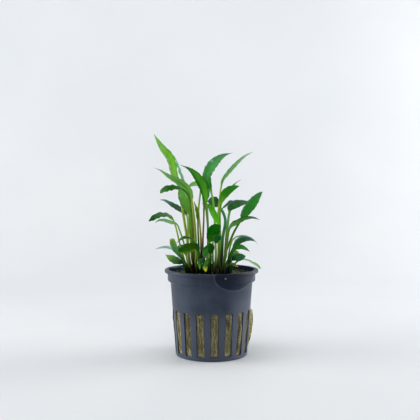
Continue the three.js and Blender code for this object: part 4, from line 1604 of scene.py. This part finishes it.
# The leaves of every crown, named by their order from 1
PLANTLETS = (
    Plantlet("left_back", (-11.8, 3.6), (
        # tall bright leaf leaning out to the upper left
        Leaf(Slot.FRESH, -95, 6, 5, (
            (-13.2, 56, 1.6), (-14.2, 67, 1.2), (-15.9, 78, 1.4), (-17.3, 87, 2.4), (-18.2, 94, 5),
            (-18.7, 99.3, 7), (-21.5, 105, 8), (-22.9, 112, 9), (-24.7, 116.3, 10), (-28.2, 120.4, 11),
            (-31.3, 125, 12), (-33.6, 128.9, 13)),
            Greens((122, 172, 82), (104, 170, 46), (118, 174, 82), Stem.YELLOW,
                   minus=Margin((122, 176, 90), 0.3), plus=Margin((92, 158, 36), 0.4)),
            taper=0.9, stalk=0.88, rise=0.5, turn=(15, 25)),
        # tall blue-green leaf seen on its edge
        Leaf(Slot.TEAL, 60, 5, 4.2, (
            (-10.2, 58, 7), (-10.3, 72, 9), (-11.5, 88, 11), (-12.8, 93, 12), (-14.6, 98.5, 13.5),
            (-16.9, 104, 15), (-18.8, 109.2, 16), (-20.5, 113.6, 17), (-22.2, 116.9, 18)),
            Greens((92, 132, 88), (92, 140, 114), (104, 146, 130), Stem.DARK,
                   plus=Margin((150, 184, 164), 0.75), foot_shade_height=12),
            turn=(66, 72)),
        # broad leaf at the left
        Leaf(Slot.GREEN, -40, 4, 6.1, (
            (-11.2, 56, -0.8), (-12, 66, -1.6), (-12.8, 76, -2.6), (-13.1, 82, -3.4), (-14.1, 86, -4),
            (-15.7, 90, -4.5), (-16.9, 94, -4.5), (-17.7, 97.5, -4), (-18.6, 100.5, -3)),
            Greens((96, 158, 44), (106, 164, 68), (112, 162, 82), Stem.GREEN,
                   minus=Margin((88, 142, 76), 0.55), plus=Margin((108, 158, 60), 0.45),
                   # its pale spot is a painted highlight
                   spot=StainOrHighlight(0.62, -0.5, 1.1, (140, 172, 160)), foot_shade_height=13),
            widest=0.5, taper=0.9, stalk=0.9, rise=0.6, turn=(-5, -15)),
        # dark teal leaf that reaches straight out to the left
        Leaf(Slot.TEAL, -140, 4, 3.2, (
            (-13.9, 58, 3.8), (-13.7, 68, 4), (-13.9, 76, 4.4), (-14.3, 80.5, 4.8), (-15.5, 83.2, 5.4),
            (-18, 84.9, 6.4), (-21, 86.7, 8), (-24, 88.4, 9.3), (-27.2, 90.2, 10.7), (-30.3, 90.6, 12)),
            Greens((48, 76, 46), (46, 78, 58), (94, 122, 114), Stem.YELLOW,
                   # its pale blue-grey upper margin is a painted highlight
                   plus=Margin((84, 122, 116), 0.76)),
            widest=0.35, turn=(25, 30)),
        # pale leaf behind the low left arch
        Leaf(Slot.PALE, 135, 4, 2.2, (
            (-14.8, 58, 6), (-16.6, 66.3, 7), (-18.7, 72.5, 8.5), (-20.4, 76.3, 9.5),
            (-23.5, 77.4, 11), (-28, 78.7, 13), (-31.5, 78.3, 15), (-33.2, 76.7, 16)),
            Greens((100, 154, 74), (108, 152, 104), (112, 150, 118), Stem.GREEN),
            widest=0.3, turn=(40, 50)),
        # pale low leaf
        Leaf(Slot.PALE, 180, 3, 1.9, (
            (-15.3, 52, 4.5), (-17, 56.2, 6), (-19, 59.2, 7.5), (-22, 61.5, 9), (-25, 62.6, 11),
            (-28, 62.8, 12.5), (-33.3, 61.6, 15)),
            Greens((112, 150, 116), (138, 168, 152), (158, 182, 172), Stem.GREEN),
            widest=0.35, turn=(50, 55)),
        # leaf towards the back
        Leaf(Slot.DEEP, 98, 2, 5, (
            (-13.2, 54, 9), (-15.6, 59, 13), (-18, 62, 17), (-20, 62.5, 21), (-21.5, 60.5, 25)),
            Greens((36, 82, 24), (38, 84, 36), (56, 104, 52), Stem.DARK),
            turn=(10, 10)),
    )),
    Plantlet("left_front", (-12, -4.4), (
        # long arch with a reddish margin
        Leaf(Slot.GREEN, 5, 4, 4.6, (
            (-9, 56, -4.5), (-9.4, 70, -6), (-10.4, 82, -8), (-11.7, 90.5, -9.5), (-14.3, 96.9, -11),
            (-19.1, 101.2, -12.5), (-25, 104.5, -14), (-30, 107.9, -15.5), (-34, 109.4, -17)),
            Greens((118, 172, 70), (110, 172, 80), (126, 172, 104), Stem.YELLOW,
                   minus=Margin((132, 184, 102), 0.4), plus=Margin((96, 74, 44), 0.92), rib=(76, 120, 56)),
            widest=0.22, taper=1.4, stalk=0.8, rise=0.5, turn=(8, 15)),
        # dark arch with a blunt tip
        Leaf(Slot.DEEP, -45, 5, 4.3, (
            (-11.2, 60, -8), (-11.5, 75, -10.5), (-12.2, 85.5, -12.5), (-13.4, 92.9, -13.5),
            (-16.6, 96.5, -14.5), (-21, 98, -16), (-25, 97.7, -17.5), (-28.5, 96.4, -19),
            (-30.1, 94.4, -20)),
            Greens((66, 112, 60), (50, 104, 42), (74, 132, 64), Stem.FERN,
                   plus=Margin((72, 112, 68), 0.6), foot_shade_height=12),
            widest=0.5, taper=0.55, stalk=0.75, turn=(50, -12)),
        # low left arch
        Leaf(Slot.DEEP, 140, 4, 4.5, (
            (-16.5, 57, -3.5), (-18.6, 64.5, -4.5), (-20.1, 71, -6), (-21.3, 75.7, -7),
            (-22.6, 79, -8.5), (-25, 81.4, -9.8), (-28.5, 82.1, -11.5), (-32.7, 81.2, -14),
            (-37, 78, -16.5)),
            Greens((98, 150, 58), (82, 130, 82), (28, 92, 34), Stem.YELLOW),
            widest=0.7, taper=0.8, turn=(60, -20)),
        # small dark arch near the rim
        Leaf(Slot.DEEP, 95, 2, 1.9, (
            (-14, 50.5, -1), (-16.5, 54.5, -0.5), (-17.6, 56.6, 0), (-18.8, 58.1, 0.5),
            (-20.1, 58.9, 1.2), (-21.3, 58.8, 2)),
            Greens((58, 90, 48), (44, 86, 38), (78, 114, 52), Stem.DARK),
            widest=0.4, turn=(25, 30)),
        # leaf lying out over the rim
        Leaf(Slot.GREEN, 180, 2, 2.4, (
            (-16, 50.2, -6), (-17.5, 50.9, -7), (-20, 51.3, -8.5), (-22.5, 51.2, -10),
            (-24.7, 50.9, -11.5), (-26.5, 50.3, -13)),
            Greens((58, 92, 70), (78, 112, 92), (106, 132, 120), Stem.TEAL),
            turn=(60, 60)),
        # yellow-tipped leaf above the rim
        Leaf(Slot.GREEN, -140, 2, 4.6, (
            (-14.9, 50.6, -7), (-16.8, 53.1, -8.5), (-18.6, 54, -10.5), (-21.2, 55.2, -12.5),
            (-23.8, 56.6, -14.5), (-27, 58.3, -17)),
            Greens((40, 74, 42), (82, 136, 76), (150, 190, 72), Stem.DARK),
            widest=0.5, taper=0.9, turn=(-10, -15)),
        # leaf whose tip curls over towards the front
        Leaf(Slot.GREEN, -95, 2, 3.8, (
            (-13.8, 51, -10.5), (-16.6, 55.5, -14), (-19.2, 59, -16.5), (-21.1, 62, -18),
            (-22.4, 64.8, -19.2), (-22.9, 67.2, -20.6), (-22.8, 67.8, -22.6), (-22.6, 66.2, -23.8)),
            Greens((54, 96, 44), (80, 134, 74), (90, 156, 56), Stem.DARK,
                   minus=Margin((202, 168, 64), 0.72, 0.72), plus=Margin((202, 168, 64), 0.72, 0.72)),
            widest=0.5, taper=0.5, turn=(10, 0)),
    )),
    Plantlet("middle_left", (-5.2, 1.6), (
        # large leaf across the middle, pointing up to the left
        Leaf(Slot.GREEN, -40, 3, 5.2, (
            (-2.1, 60, -2), (-2.1, 74, -4.5), (-3.2, 87, -7), (-3.6, 92.8, -8), (-5.2, 99.2, -9.5),
            (-8.2, 104.2, -11), (-12.7, 108.6, -13), (-19.5, 111.4, -16)),
            Greens((98, 180, 46), (70, 148, 36), (52, 116, 46), Stem.OLIVE,
                   # its dark right margin is a painted shadow
                   minus=Margin((32, 108, 26), 0.3), plus=Margin((48, 88, 34), 0.72)),
            widest=0.43, taper=1.8, stalk=0.75, rise=0.9, turn=(-20, 25)),
        # small bright leaf behind it
        Leaf(Slot.FRESH, 120, 5, 2.7, (
            (-6, 60, 4.2), (-6.5, 72, 5.6), (-7.6, 84, 8), (-6.9, 92, 10), (-6.4, 96.3, 11),
            (-6.6, 98.8, 12.7), (-8.3, 99.9, 13.5), (-11.2, 99.6, 15), (-13.8, 98, 16)),
            Greens((104, 164, 66), (114, 164, 94), (106, 160, 76), Stem.GOLD, foot_shade_height=18),
            widest=0.6, taper=0.7, stalk=0.7, turn=(30, 30)),
        # narrow dark young leaf
        Leaf(Slot.DEEP, 190, 3, 2.6, (
            (-7.3, 58, 2), (-7.9, 72, 3), (-8, 78, 3.5), (-8.2, 82, 3.8), (-8.6, 85, 4),
            (-9.6, 88, 4.5), (-10.4, 90, 5)),
            Greens((44, 80, 30), (66, 106, 36), (106, 126, 66), Stem.DARK),
            turn=(45, 50)),
        # blue-green leaf on a brown stalk
        Leaf(Slot.TEAL, 60, 4, 4.4, (
            (-5.2, 60, 7.2), (-4.9, 70, 8.5), (-4.5, 80, 9.5), (-4.4, 87, 10.5), (-2.9, 93, 11),
            (-2.1, 97, 12), (-1.7, 100, 13), (-1.4, 102.5, 14)),
            Greens((46, 116, 40), (60, 132, 76), (76, 142, 100), Stem.BROWN, foot_shade_height=17),
            stalk=0.65, turn=(30, 40)),
    )),
    Plantlet("front", (-3, -8), (
        # broad dark leaf in the middle
        Leaf(Slot.DEEP, 75, 3, 6.8, (
            (-1.7, 57, -8.5), (-1.7, 61.5, -9.5), (-1.3, 65.3, -10.5), (-0.2, 69, -12),
            (1, 72.2, -13.2), (2.8, 74.8, -14.8), (5.6, 75.7, -16.5)),
            Greens((60, 124, 32), (25, 104, 18), (38, 106, 32), Stem.PALE, plus=Margin((46, 40, 32), 0.78)),
            widest=0.55, taper=0.8, rise=0.7),
        # thin dark arch
        Leaf(Slot.DEEP, 150, 3, 2.3, (
            (-7.8, 55, -8), (-8.5, 62, -9.5), (-9.8, 66.3, -10.5), (-12.5, 68.3, -12),
            (-15.7, 68.7, -13.5), (-18.4, 67.3, -15), (-20.2, 65.2, -16)),
            Greens((78, 106, 58), (46, 84, 44), (94, 126, 78), Stem.GREEN),
            widest=0.5, turn=(95, 95)),
        # big dark hanging leaf
        Leaf(Slot.DEEP, -170, 2, 5.8, (
            (-7.3, 55, -11), (-7.6, 60, -13), (-8.7, 62.7, -14.5), (-10.8, 63, -15.7),
            (-13.6, 62.3, -17), (-16.6, 61.4, -18.5), (-19.8, 60.2, -20)),
            Greens((44, 92, 38), (54, 90, 26), (34, 86, 32), Stem.DARK, minus=Margin((78, 122, 28), 0.35),
                   plus=Margin((42, 98, 54), 0.6)),
            widest=0.55, taper=0.6, turn=(-15, -60)),
        # small leaf bent down, with a bright tip
        Leaf(Slot.FRESH, -125, 2, 3, (
            (-4, 51, -12), (-4.2, 54, -13.5), (-5, 56, -15), (-6.2, 55.5, -16.2), (-6.9, 53, -17.3),
            (-6.8, 49.4, -18)),
            Greens((18, 62, 24), (26, 76, 28), (84, 164, 38), Stem.DARK, turns=0.6),
            widest=0.4, taper=0.9, turn=(15, 60)),
        # small yellowing leaf bent down
        Leaf(Slot.FRESH, -85, 2, 3.9, (
            (-1.7, 51.5, -13), (-1.8, 54.6, -14.5), (-2.5, 55.7, -16), (-3.5, 54, -17.5),
            (-3.8, 51, -18.3), (-3.1, 48.2, -19)),
            Greens((30, 78, 30), (44, 98, 26), (204, 204, 42), Stem.DARK, turns=0.62),
            widest=0.5, taper=0.8, turn=(-30, 40)),
        # short drooping leaf
        Leaf(Slot.GREEN, -40, 2, 5.8, (
            (-0.4, 54, -12), (-0.4, 58.5, -14), (-0.8, 61.7, -16), (-1.9, 62.6, -17.5),
            (-3.2, 61.4, -18.8), (-4.2, 59.4, -19.8), (-4.7, 56.9, -20.5)),
            Greens((38, 84, 28), (26, 86, 24), (42, 112, 36), Stem.DARK),
            widest=0.5, taper=0.8, turn=(0, -95)),
        # lime leaf that droops to the right
        Leaf(Slot.FRESH, 15, 5, 3.5, (
            (-0.9, 57, -6.8), (-1.5, 66, -7), (-2, 76, -8), (-2.3, 83, -10.5), (-2.5, 87.3, -12.5),
            (-1.9, 88, -14.2), (-0.8, 86.4, -15.7), (0.9, 83.2, -17), (2.7, 79.6, -18.2),
            (4.4, 75.9, -19)),
            Greens((34, 92, 20), (66, 152, 18), (80, 166, 20), Stem.GREEN),
            widest=0.6, taper=0.6, turn=(-42, -60)),
    )),
    Plantlet("middle_right", (3.4, 1.4), (
        # big upper leaf
        Leaf(Slot.GREEN, -130, 5, 6.2, (
            (2.5, 56, 0.5), (2.2, 68, 2), (1.8, 80, 4), (0.9, 90, 5.5), (0, 94.5, 6.5),
            (-1.2, 99, 7.5), (-2.5, 104.5, 9), (-0.1, 110, 11), (3.3, 113.9, 13), (7.3, 116.6, 14.3),
            (12.6, 118.1, 16)),
            Greens((22, 84, 12), (72, 142, 74), (82, 136, 90), Stem.PALE,
                   # its pale blue spot is a painted highlight
                   spot=StainOrHighlight(0.6, -0.62, 1.3, (140, 178, 176))),
            widest=0.5, taper=1.6, stalk=0.75, rise=0.9, turn=(25, -10)),
        # slender leaf to the upper right
        Leaf(Slot.FRESH, 100, 5, 2.6, (
            (4, 56, 5), (4.1, 66, 6), (3.8, 79, 7.5), (4.9, 92, 9.5), (5.7, 98, 10.5), (6.6, 102, 11),
            (9.4, 105.9, 12), (14.3, 111.4, 13.5), (19.5, 116.1, 15), (24.4, 118.7, 16.5)),
            Greens((90, 152, 72), (104, 156, 100), (132, 162, 140), Stem.YELLOW),
            stalk=0.7, turn=(20, 20)),
        # leaf pointing right at two thirds of the height
        Leaf(Slot.GREEN, -50, 4, 4.9, (
            (4.7, 58, -1.5), (4.9, 72, -3), (5, 83, -4.8), (5.2, 86.5, -5.3), (6.3, 91.6, -6.5),
            (9.2, 95.7, -8.5), (12.8, 97.8, -10.5), (16.4, 98.7, -12.5)),
            Greens((120, 184, 52), (52, 130, 32), (50, 124, 46), Stem.GREEN, foot_shade_height=15),
            widest=0.5, taper=0.9, stalk=0.7, rise=1.1, turn=(-15, 10)),
        # thin twisted leaf behind it
        Leaf(Slot.PALE, -5, 4, 2.4, (
            (5.3, 58, 1), (5.2, 72, 1), (5, 84, 2), (6.6, 90.5, 3), (9.5, 95, 4.5), (12.5, 98.5, 6),
            (14.5, 100.6, 7.5), (17.1, 102.3, 9)),
            Greens((92, 146, 78), (108, 158, 98), (98, 86, 54), Stem.OLIVE, foot_shade_height=12),
            turn=(40, 60)),
        # teal leaf that bends back to the left
        Leaf(Slot.TEAL, 40, 6, 6.5, (
            (6, 58, 4), (6.6, 68, 5.5), (7.9, 75.5, 7), (8.1, 79, 8), (6.6, 83.5, 9.3),
            (4.4, 86.6, 10.5), (2.6, 88.6, 12), (0.6, 89.8, 14), (-2.6, 89.8, 16.5)),
            Greens((38, 92, 50), (28, 82, 32), (50, 98, 58), Stem.TEAL, foot_shade_height=17),
            widest=0.4, stalk=1.05, turn=(20, 30)),
    )),
    Plantlet("right_back", (9, 4), (
        # dark arch to the right
        Leaf(Slot.TEAL, -125, 4, 4.8, (
            (7.7, 57, 1.5), (8.6, 69.5, 1), (9.8, 80, 0.5), (10.3, 83.3, 0), (11.2, 86, -0.5),
            (13.5, 87.8, -1.5), (16.8, 88.7, -3), (19.8, 89.2, -4.5), (22.5, 89.6, -6)),
            Greens((38, 90, 40), (52, 100, 56), (84, 124, 102), Stem.GREEN,
                   minus=Margin((80, 112, 106), 0.35), spot=StainOrHighlight(0.7, 0.5, 0.6, (98, 82, 46))),
            widest=0.35, turn=(15, 20)),
        # leaf behind it that points back to the left
        Leaf(Slot.TEAL, 155, 4, 2.4, (
            (8.6, 58, 6.5), (9.5, 72, 6.5), (10.3, 81, 6), (11.6, 86, 6), (12.6, 88.8, 6.5),
            (11.2, 89.2, 7.5), (9, 87.6, 9), (7, 86, 10), (5.6, 84.8, 11)),
            Greens((32, 64, 40), (58, 102, 76), (84, 130, 96), Stem.TEAL),
            turn=(30, 40)),
        # pale leaf at mid height
        Leaf(Slot.PALE, 60, 3, 2.2, (
            (10, 57, 7.5), (11.6, 65.2, 9), (12.7, 67.4, 10), (15, 68.9, 11.5), (19.5, 69.5, 14),
            (23.5, 68, 16.5), (27, 64.9, 19)),
            Greens((96, 138, 110), (126, 158, 144), (140, 166, 142), Stem.GREEN),
            turn=(45, 50)),
        # thin leaf over the right rim
        Leaf(Slot.PALE, 5, 2, 1.6, (
            (12.6, 51.5, 5), (15.5, 54.6, 6), (18.5, 55.6, 7.5), (21.5, 55, 9), (24.3, 53.5, 10.5),
            (26.9, 52.1, 12), (28.9, 49.9, 12.8)),
            Greens((122, 144, 132), (148, 170, 154), (108, 164, 84), Stem.TEAL,
                   minus=Margin((88, 146, 66), 0.1)),
            widest=0.8, taper=0.6, rise=1.2, turn=(20, -25)),
        # small leaf with a golden tip
        Leaf(Slot.GREEN, -55, 2, 1.6, (
            (11.2, 56.5, 1.5), (12, 59.2, 1.2), (13.5, 60.2, 1), (15.2, 59.6, 0.5), (17, 58.4, 0)),
            Greens((56, 120, 54), (96, 146, 62), (228, 186, 50), Stem.DARK),
            turn=(50, 40)),
        # leaf towards the back
        Leaf(Slot.GREEN, 110, 2, 4.4, (
            (8.4, 52.5, 10), (10.5, 56.5, 14), (13.5, 58.3, 18), (16.5, 57.5, 23), (18.5, 55, 27)),
            Greens((48, 88, 44), (52, 96, 52), (52, 102, 56), Stem.DARK),
            turn=(-10, -10)),
    )),
    Plantlet("right_front", (7.6, -5.6), (
        # big leaf to the right
        Leaf(Slot.GREEN, 100, 5, 5.7, (
            (7.8, 57.5, -3.5), (10.2, 64.5, -4.5), (13.4, 72, -6), (16.3, 77, -7.5), (17.9, 79.8, -8),
            (20.2, 83.7, -9), (24, 88.7, -11), (27.6, 93.2, -13), (29.9, 95.4, -14.5)),
            Greens((56, 132, 52), (52, 132, 48), (60, 126, 62), Stem.FERN,
                   minus=Margin((78, 134, 84), 0.6)),
            taper=0.8, stalk=0.75, rise=0.35, turn=(-10, 15)),
        # thin leaf below it
        Leaf(Slot.GREEN, -115, 3, 2.7, (
            (7.9, 57, -9), (9.2, 66, -10.5), (10.6, 73.6, -12), (12.3, 76, -13), (15.4, 77.6, -14.5),
            (19.7, 79.7, -16.5), (24.5, 80.1, -19), (28.4, 78.8, -21)),
            Greens((84, 140, 54), (58, 108, 42), (48, 106, 52), Stem.MOSS,
                   minus=Margin((46, 78, 38), 0.45)),
            widest=0.25, stalk=0.75, turn=(30, 50)),
        # small dark leaf bent over in front
        Leaf(Slot.DEEP, 165, 3, 4.6, (
            (4.2, 56, -8), (4.9, 65.5, -12), (4.9, 68.8, -14), (4.3, 70, -16), (3.5, 69, -17.5),
            (2.9, 67, -18.5), (2.5, 64.7, -19.5)),
            Greens((66, 118, 68), (20, 76, 16), (14, 74, 10), Stem.GREEN, minus=Margin((42, 96, 54), 0.5),
                   plus=Margin((58, 112, 84), 0.85)),
            widest=0.5, taper=0.8, turn=(15, 55)),
        # teal leaf at mid height
        Leaf(Slot.TEAL, 50, 2, 3.9, (
            (10.3, 56, -5), (12.6, 62.2, -7), (14.5, 65, -8.5), (18.5, 67.6, -11), (22.5, 67.7, -13.5),
            (25.5, 66.2, -15.5)),
            Greens((54, 104, 46), (46, 86, 56), (64, 102, 90), Stem.DARK,
                   minus=Margin((104, 138, 124), 0.35)),
            turn=(30, 35)),
        # broad dark leaf above the rim
        Leaf(Slot.DEEP, 10, 2, 5, (
            (10.7, 52, -6), (12, 55, -7.3), (14.3, 56.8, -9), (17, 57.3, -11), (20, 57.6, -13.5)),
            Greens((34, 76, 42), (60, 118, 76), (72, 138, 86), Stem.DARK,
                   minus=Margin((106, 138, 100), 0.7)),
            taper=0.6, turn=(20, 20)),
        # narrow leaf between the two
        Leaf(Slot.GREEN, -30, 2, 2.8, (
            (11, 55.5, -10.5), (12.8, 60.5, -13), (14.4, 62.4, -14), (16.8, 63.1, -15.5),
            (19.8, 62.1, -17.5), (22.6, 60.1, -19)),
            Greens((38, 98, 24), (44, 112, 36), (70, 118, 70), Stem.DARK),
            widest=0.4, turn=(30, 45)),
        # little leaf with a yellow tip
        Leaf(Slot.FRESH, -70, 2, 2, (
            (8.9, 50.5, -10), (10.3, 52.4, -12), (12, 52.9, -13.5), (13.8, 52.4, -15),
            (15.8, 51, -16.5)),
            Greens((62, 98, 44), (96, 124, 44), (200, 186, 48), Stem.DARK, turns=0.6),
            widest=0.5, taper=0.9, turn=(40, 40)),
    )),
    Plantlet("back", (-1.5, 10), (
        # leaf that stands up behind the middle one
        Leaf(Slot.GREEN, -150, 3, 3.4, (
            (-4.9, 60, 12), (-4.9, 72, 14.5), (-4.3, 84, 17.5), (-3.9, 93, 20), (-5.4, 100.5, 23),
            (-8.3, 105, 26)),
            Greens((48, 118, 42), (54, 126, 50), (62, 128, 62), Stem.GREEN),
            turn=(0, 10)),
        # leaf that arches over the back rim
        Leaf(Slot.GREEN, 20, 3, 4.5, (
            (0.8, 58, 13), (1, 68, 16.5), (1.6, 73, 20), (2.4, 75, 24), (3, 72.5, 29), (3.2, 68, 33)),
            Greens((42, 112, 40), (42, 116, 46), (56, 126, 54), Stem.GREEN)),
        # lower leaf to the back left
        Leaf(Slot.DEEP, 150, 2, 4.6, (
            (-6, 56, 14), (-8.5, 61.5, 17), (-11, 63.5, 20), (-13.5, 62.5, 23.5), (-15.5, 59.5, 27)),
            Greens((24, 82, 26), (26, 90, 32), (36, 102, 44), Stem.DARK),
            widest=0.5),
        # low leaf straight back
        Leaf(Slot.TEAL, 85, 2, 4.2, (
            (-2.2, 55, 16), (-3, 59, 20), (-3.6, 60.5, 24), (-4, 58.5, 29), (-4.2, 54.5, 33)),
            Greens((32, 90, 56), (38, 98, 68), (52, 112, 80), Stem.DARK),
            widest=0.5),
    )),
)


@dataclass(frozen=True)
class Lamp:
    """A soft square light that faces the plant: its name, place and side in metres, and power in watts."""

    name: str
    spot: Spot
    size: float
    power: float
    target: Spot = (0, 0, 0.07)

    def build(self) -> None:
        """Adds the light."""
        lamp = bpy.data.lights.new(self.name, "AREA")
        lamp.shape = "SQUARE"
        lamp.size = self.size
        lamp.energy = self.power
        held = bpy.data.objects.new(self.name, lamp)
        held.location = self.spot
        held.rotation_euler = (Vector(self.target) - Vector(self.spot)).to_track_quat("-Z", "Y").to_euler()
        bpy.context.scene.collection.objects.link(held)


@dataclass
class Studio:
    """The plain pale floor, the soft lights and the camera.

    The camera stands at a distance from its aim, given across and up, where the picture is image_width wide,
    all in metres. The floor's sizes are millimetres: it lies a little under the pot and sweeps up into the
    backdrop. The room is the light from all round.
    """

    distance: float = 0.4
    pitch: float = 2.0
    image_width: float = 0.2463
    sensor: float = 36
    aim: tuple[float, float] = (-0.00088, 0.0846)
    floor_shades: tuple[Colour, Colour] = ((216, 219, 222), (222, 224, 226))
    floor_drop: float = 0.05
    floor_front: float = -900
    sweep_start: float = 260
    sweep_radius: float = 240
    reach: float = 1500
    lamps: tuple[Lamp, ...] = (
        Lamp("overhead_light", (-0.1, -0.1, 0.75), 0.7, 3.0),
        Lamp("left_light", (-0.75, -0.02, 0.2), 0.55, 4.2),
        Lamp("right_light", (0.72, 0.2, 0.2), 0.5, 5.5),
        Lamp("front_light", (0.15, -0.95, 0.35), 0.6, 0.25),
    )
    room: Colour = (0.93, 0.96, 1.0)
    room_strength: float = 0.3

    def build_floor(self) -> bpy.types.Object:
        """Builds the floor, which sweeps up into a backdrop.

        Returns:
            Its object.
        """
        nodes = Nodes("pale_floor")
        dull, light = self.floor_shades
        pale = nodes.ramp(nodes.noise(6, 2), (0.3, dull), (0.7, light))
        nodes.surface(Base_Color=pale, Roughness=0.7)
        profile = [(self.floor_front, -self.floor_drop), (self.sweep_start, -self.floor_drop)]
        for degrees in range(6, 91, 6):
            angle = math.radians(degrees)
            depth = self.sweep_start + self.sweep_radius * math.sin(angle)
            up = self.sweep_radius - self.sweep_radius * math.cos(angle) - self.floor_drop
            profile.append((depth, up))
        profile.append((self.sweep_start + self.sweep_radius, self.reach))
        points = [(x, depth, up) for depth, up in profile for x in (-self.reach, self.reach)]
        faces = [(2 * row, 2 * row + 1, 2 * row + 3, 2 * row + 2) for row in range(len(profile) - 1)]
        floor = Mould.piece("pale_sweep", np.array(points), faces, nodes.material)
        return floor

    def build_room(self) -> None:
        """Sets the light from all round, and plain colours in the picture."""
        world = bpy.data.worlds.new("soft_room")
        world.use_nodes = True
        background = world.node_tree.nodes["Background"]
        background.inputs[0].default_value = (*self.room, 1.0)
        background.inputs[1].default_value = self.room_strength
        bpy.context.scene.world = world
        bpy.context.scene.view_settings.view_transform = "Standard"

    def build_camera(self) -> None:
        """Sets the camera in front of the pot."""
        lens = bpy.data.cameras.new("camera")
        lens.sensor_width = self.sensor
        lens.lens = self.sensor * self.distance / self.image_width
        lens.clip_start = 0.01
        camera = bpy.data.objects.new("camera", lens)
        pitch = math.radians(self.pitch)
        rise = self.distance * math.sin(pitch)
        camera.location = (self.aim[0], -self.distance * math.cos(pitch), self.aim[1] + rise)
        camera.rotation_euler = (math.radians(90) - pitch, 0, 0)
        bpy.context.scene.collection.objects.link(camera)
        bpy.context.scene.camera = camera

    def build(self) -> None:
        """Builds the floor, the lights, the surrounding light and the camera."""
        self.build_floor()
        for lamp in self.lamps:
            lamp.build()
        self.build_room()
        self.build_camera()


# Every leaf has a seed of its own, counted from one of these hundreds for each crown
SEEDS_PER_CROWN = 100
# How glossy the leaves of each slot are, as the shader's specular level
LEAF_GLOSS = {Slot.FRESH: 0.12, Slot.GREEN: 0.1, Slot.DEEP: 0.04, Slot.TEAL: 0.12, Slot.PALE: 0.15}


def main() -> None:
    """Builds the pot, the wool and its fibres, the crowns and leaves, and the studio."""
    logging.basicConfig(level=logging.INFO, format="%(name)s %(message)s")
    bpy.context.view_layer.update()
    pot = NetPot()
    pot.build()
    WoolCrumb().build()
    wool = Rockwool(pot)
    wool.build()
    wool.build_moss([plantlet.at for plantlet in PLANTLETS])
    wool.build_loose()
    wool.build_roots()
    crown_finish = CrownSkin().material()
    skins = {slot: LeafSkin(slot, gloss).material() for slot, gloss in LEAF_GLOSS.items()}
    for number, plantlet in enumerate(PLANTLETS):
        plantlet.build(crown_finish, skins, SEEDS_PER_CROWN * number)
    Studio().build()


if __name__ == "__main__":
    main()
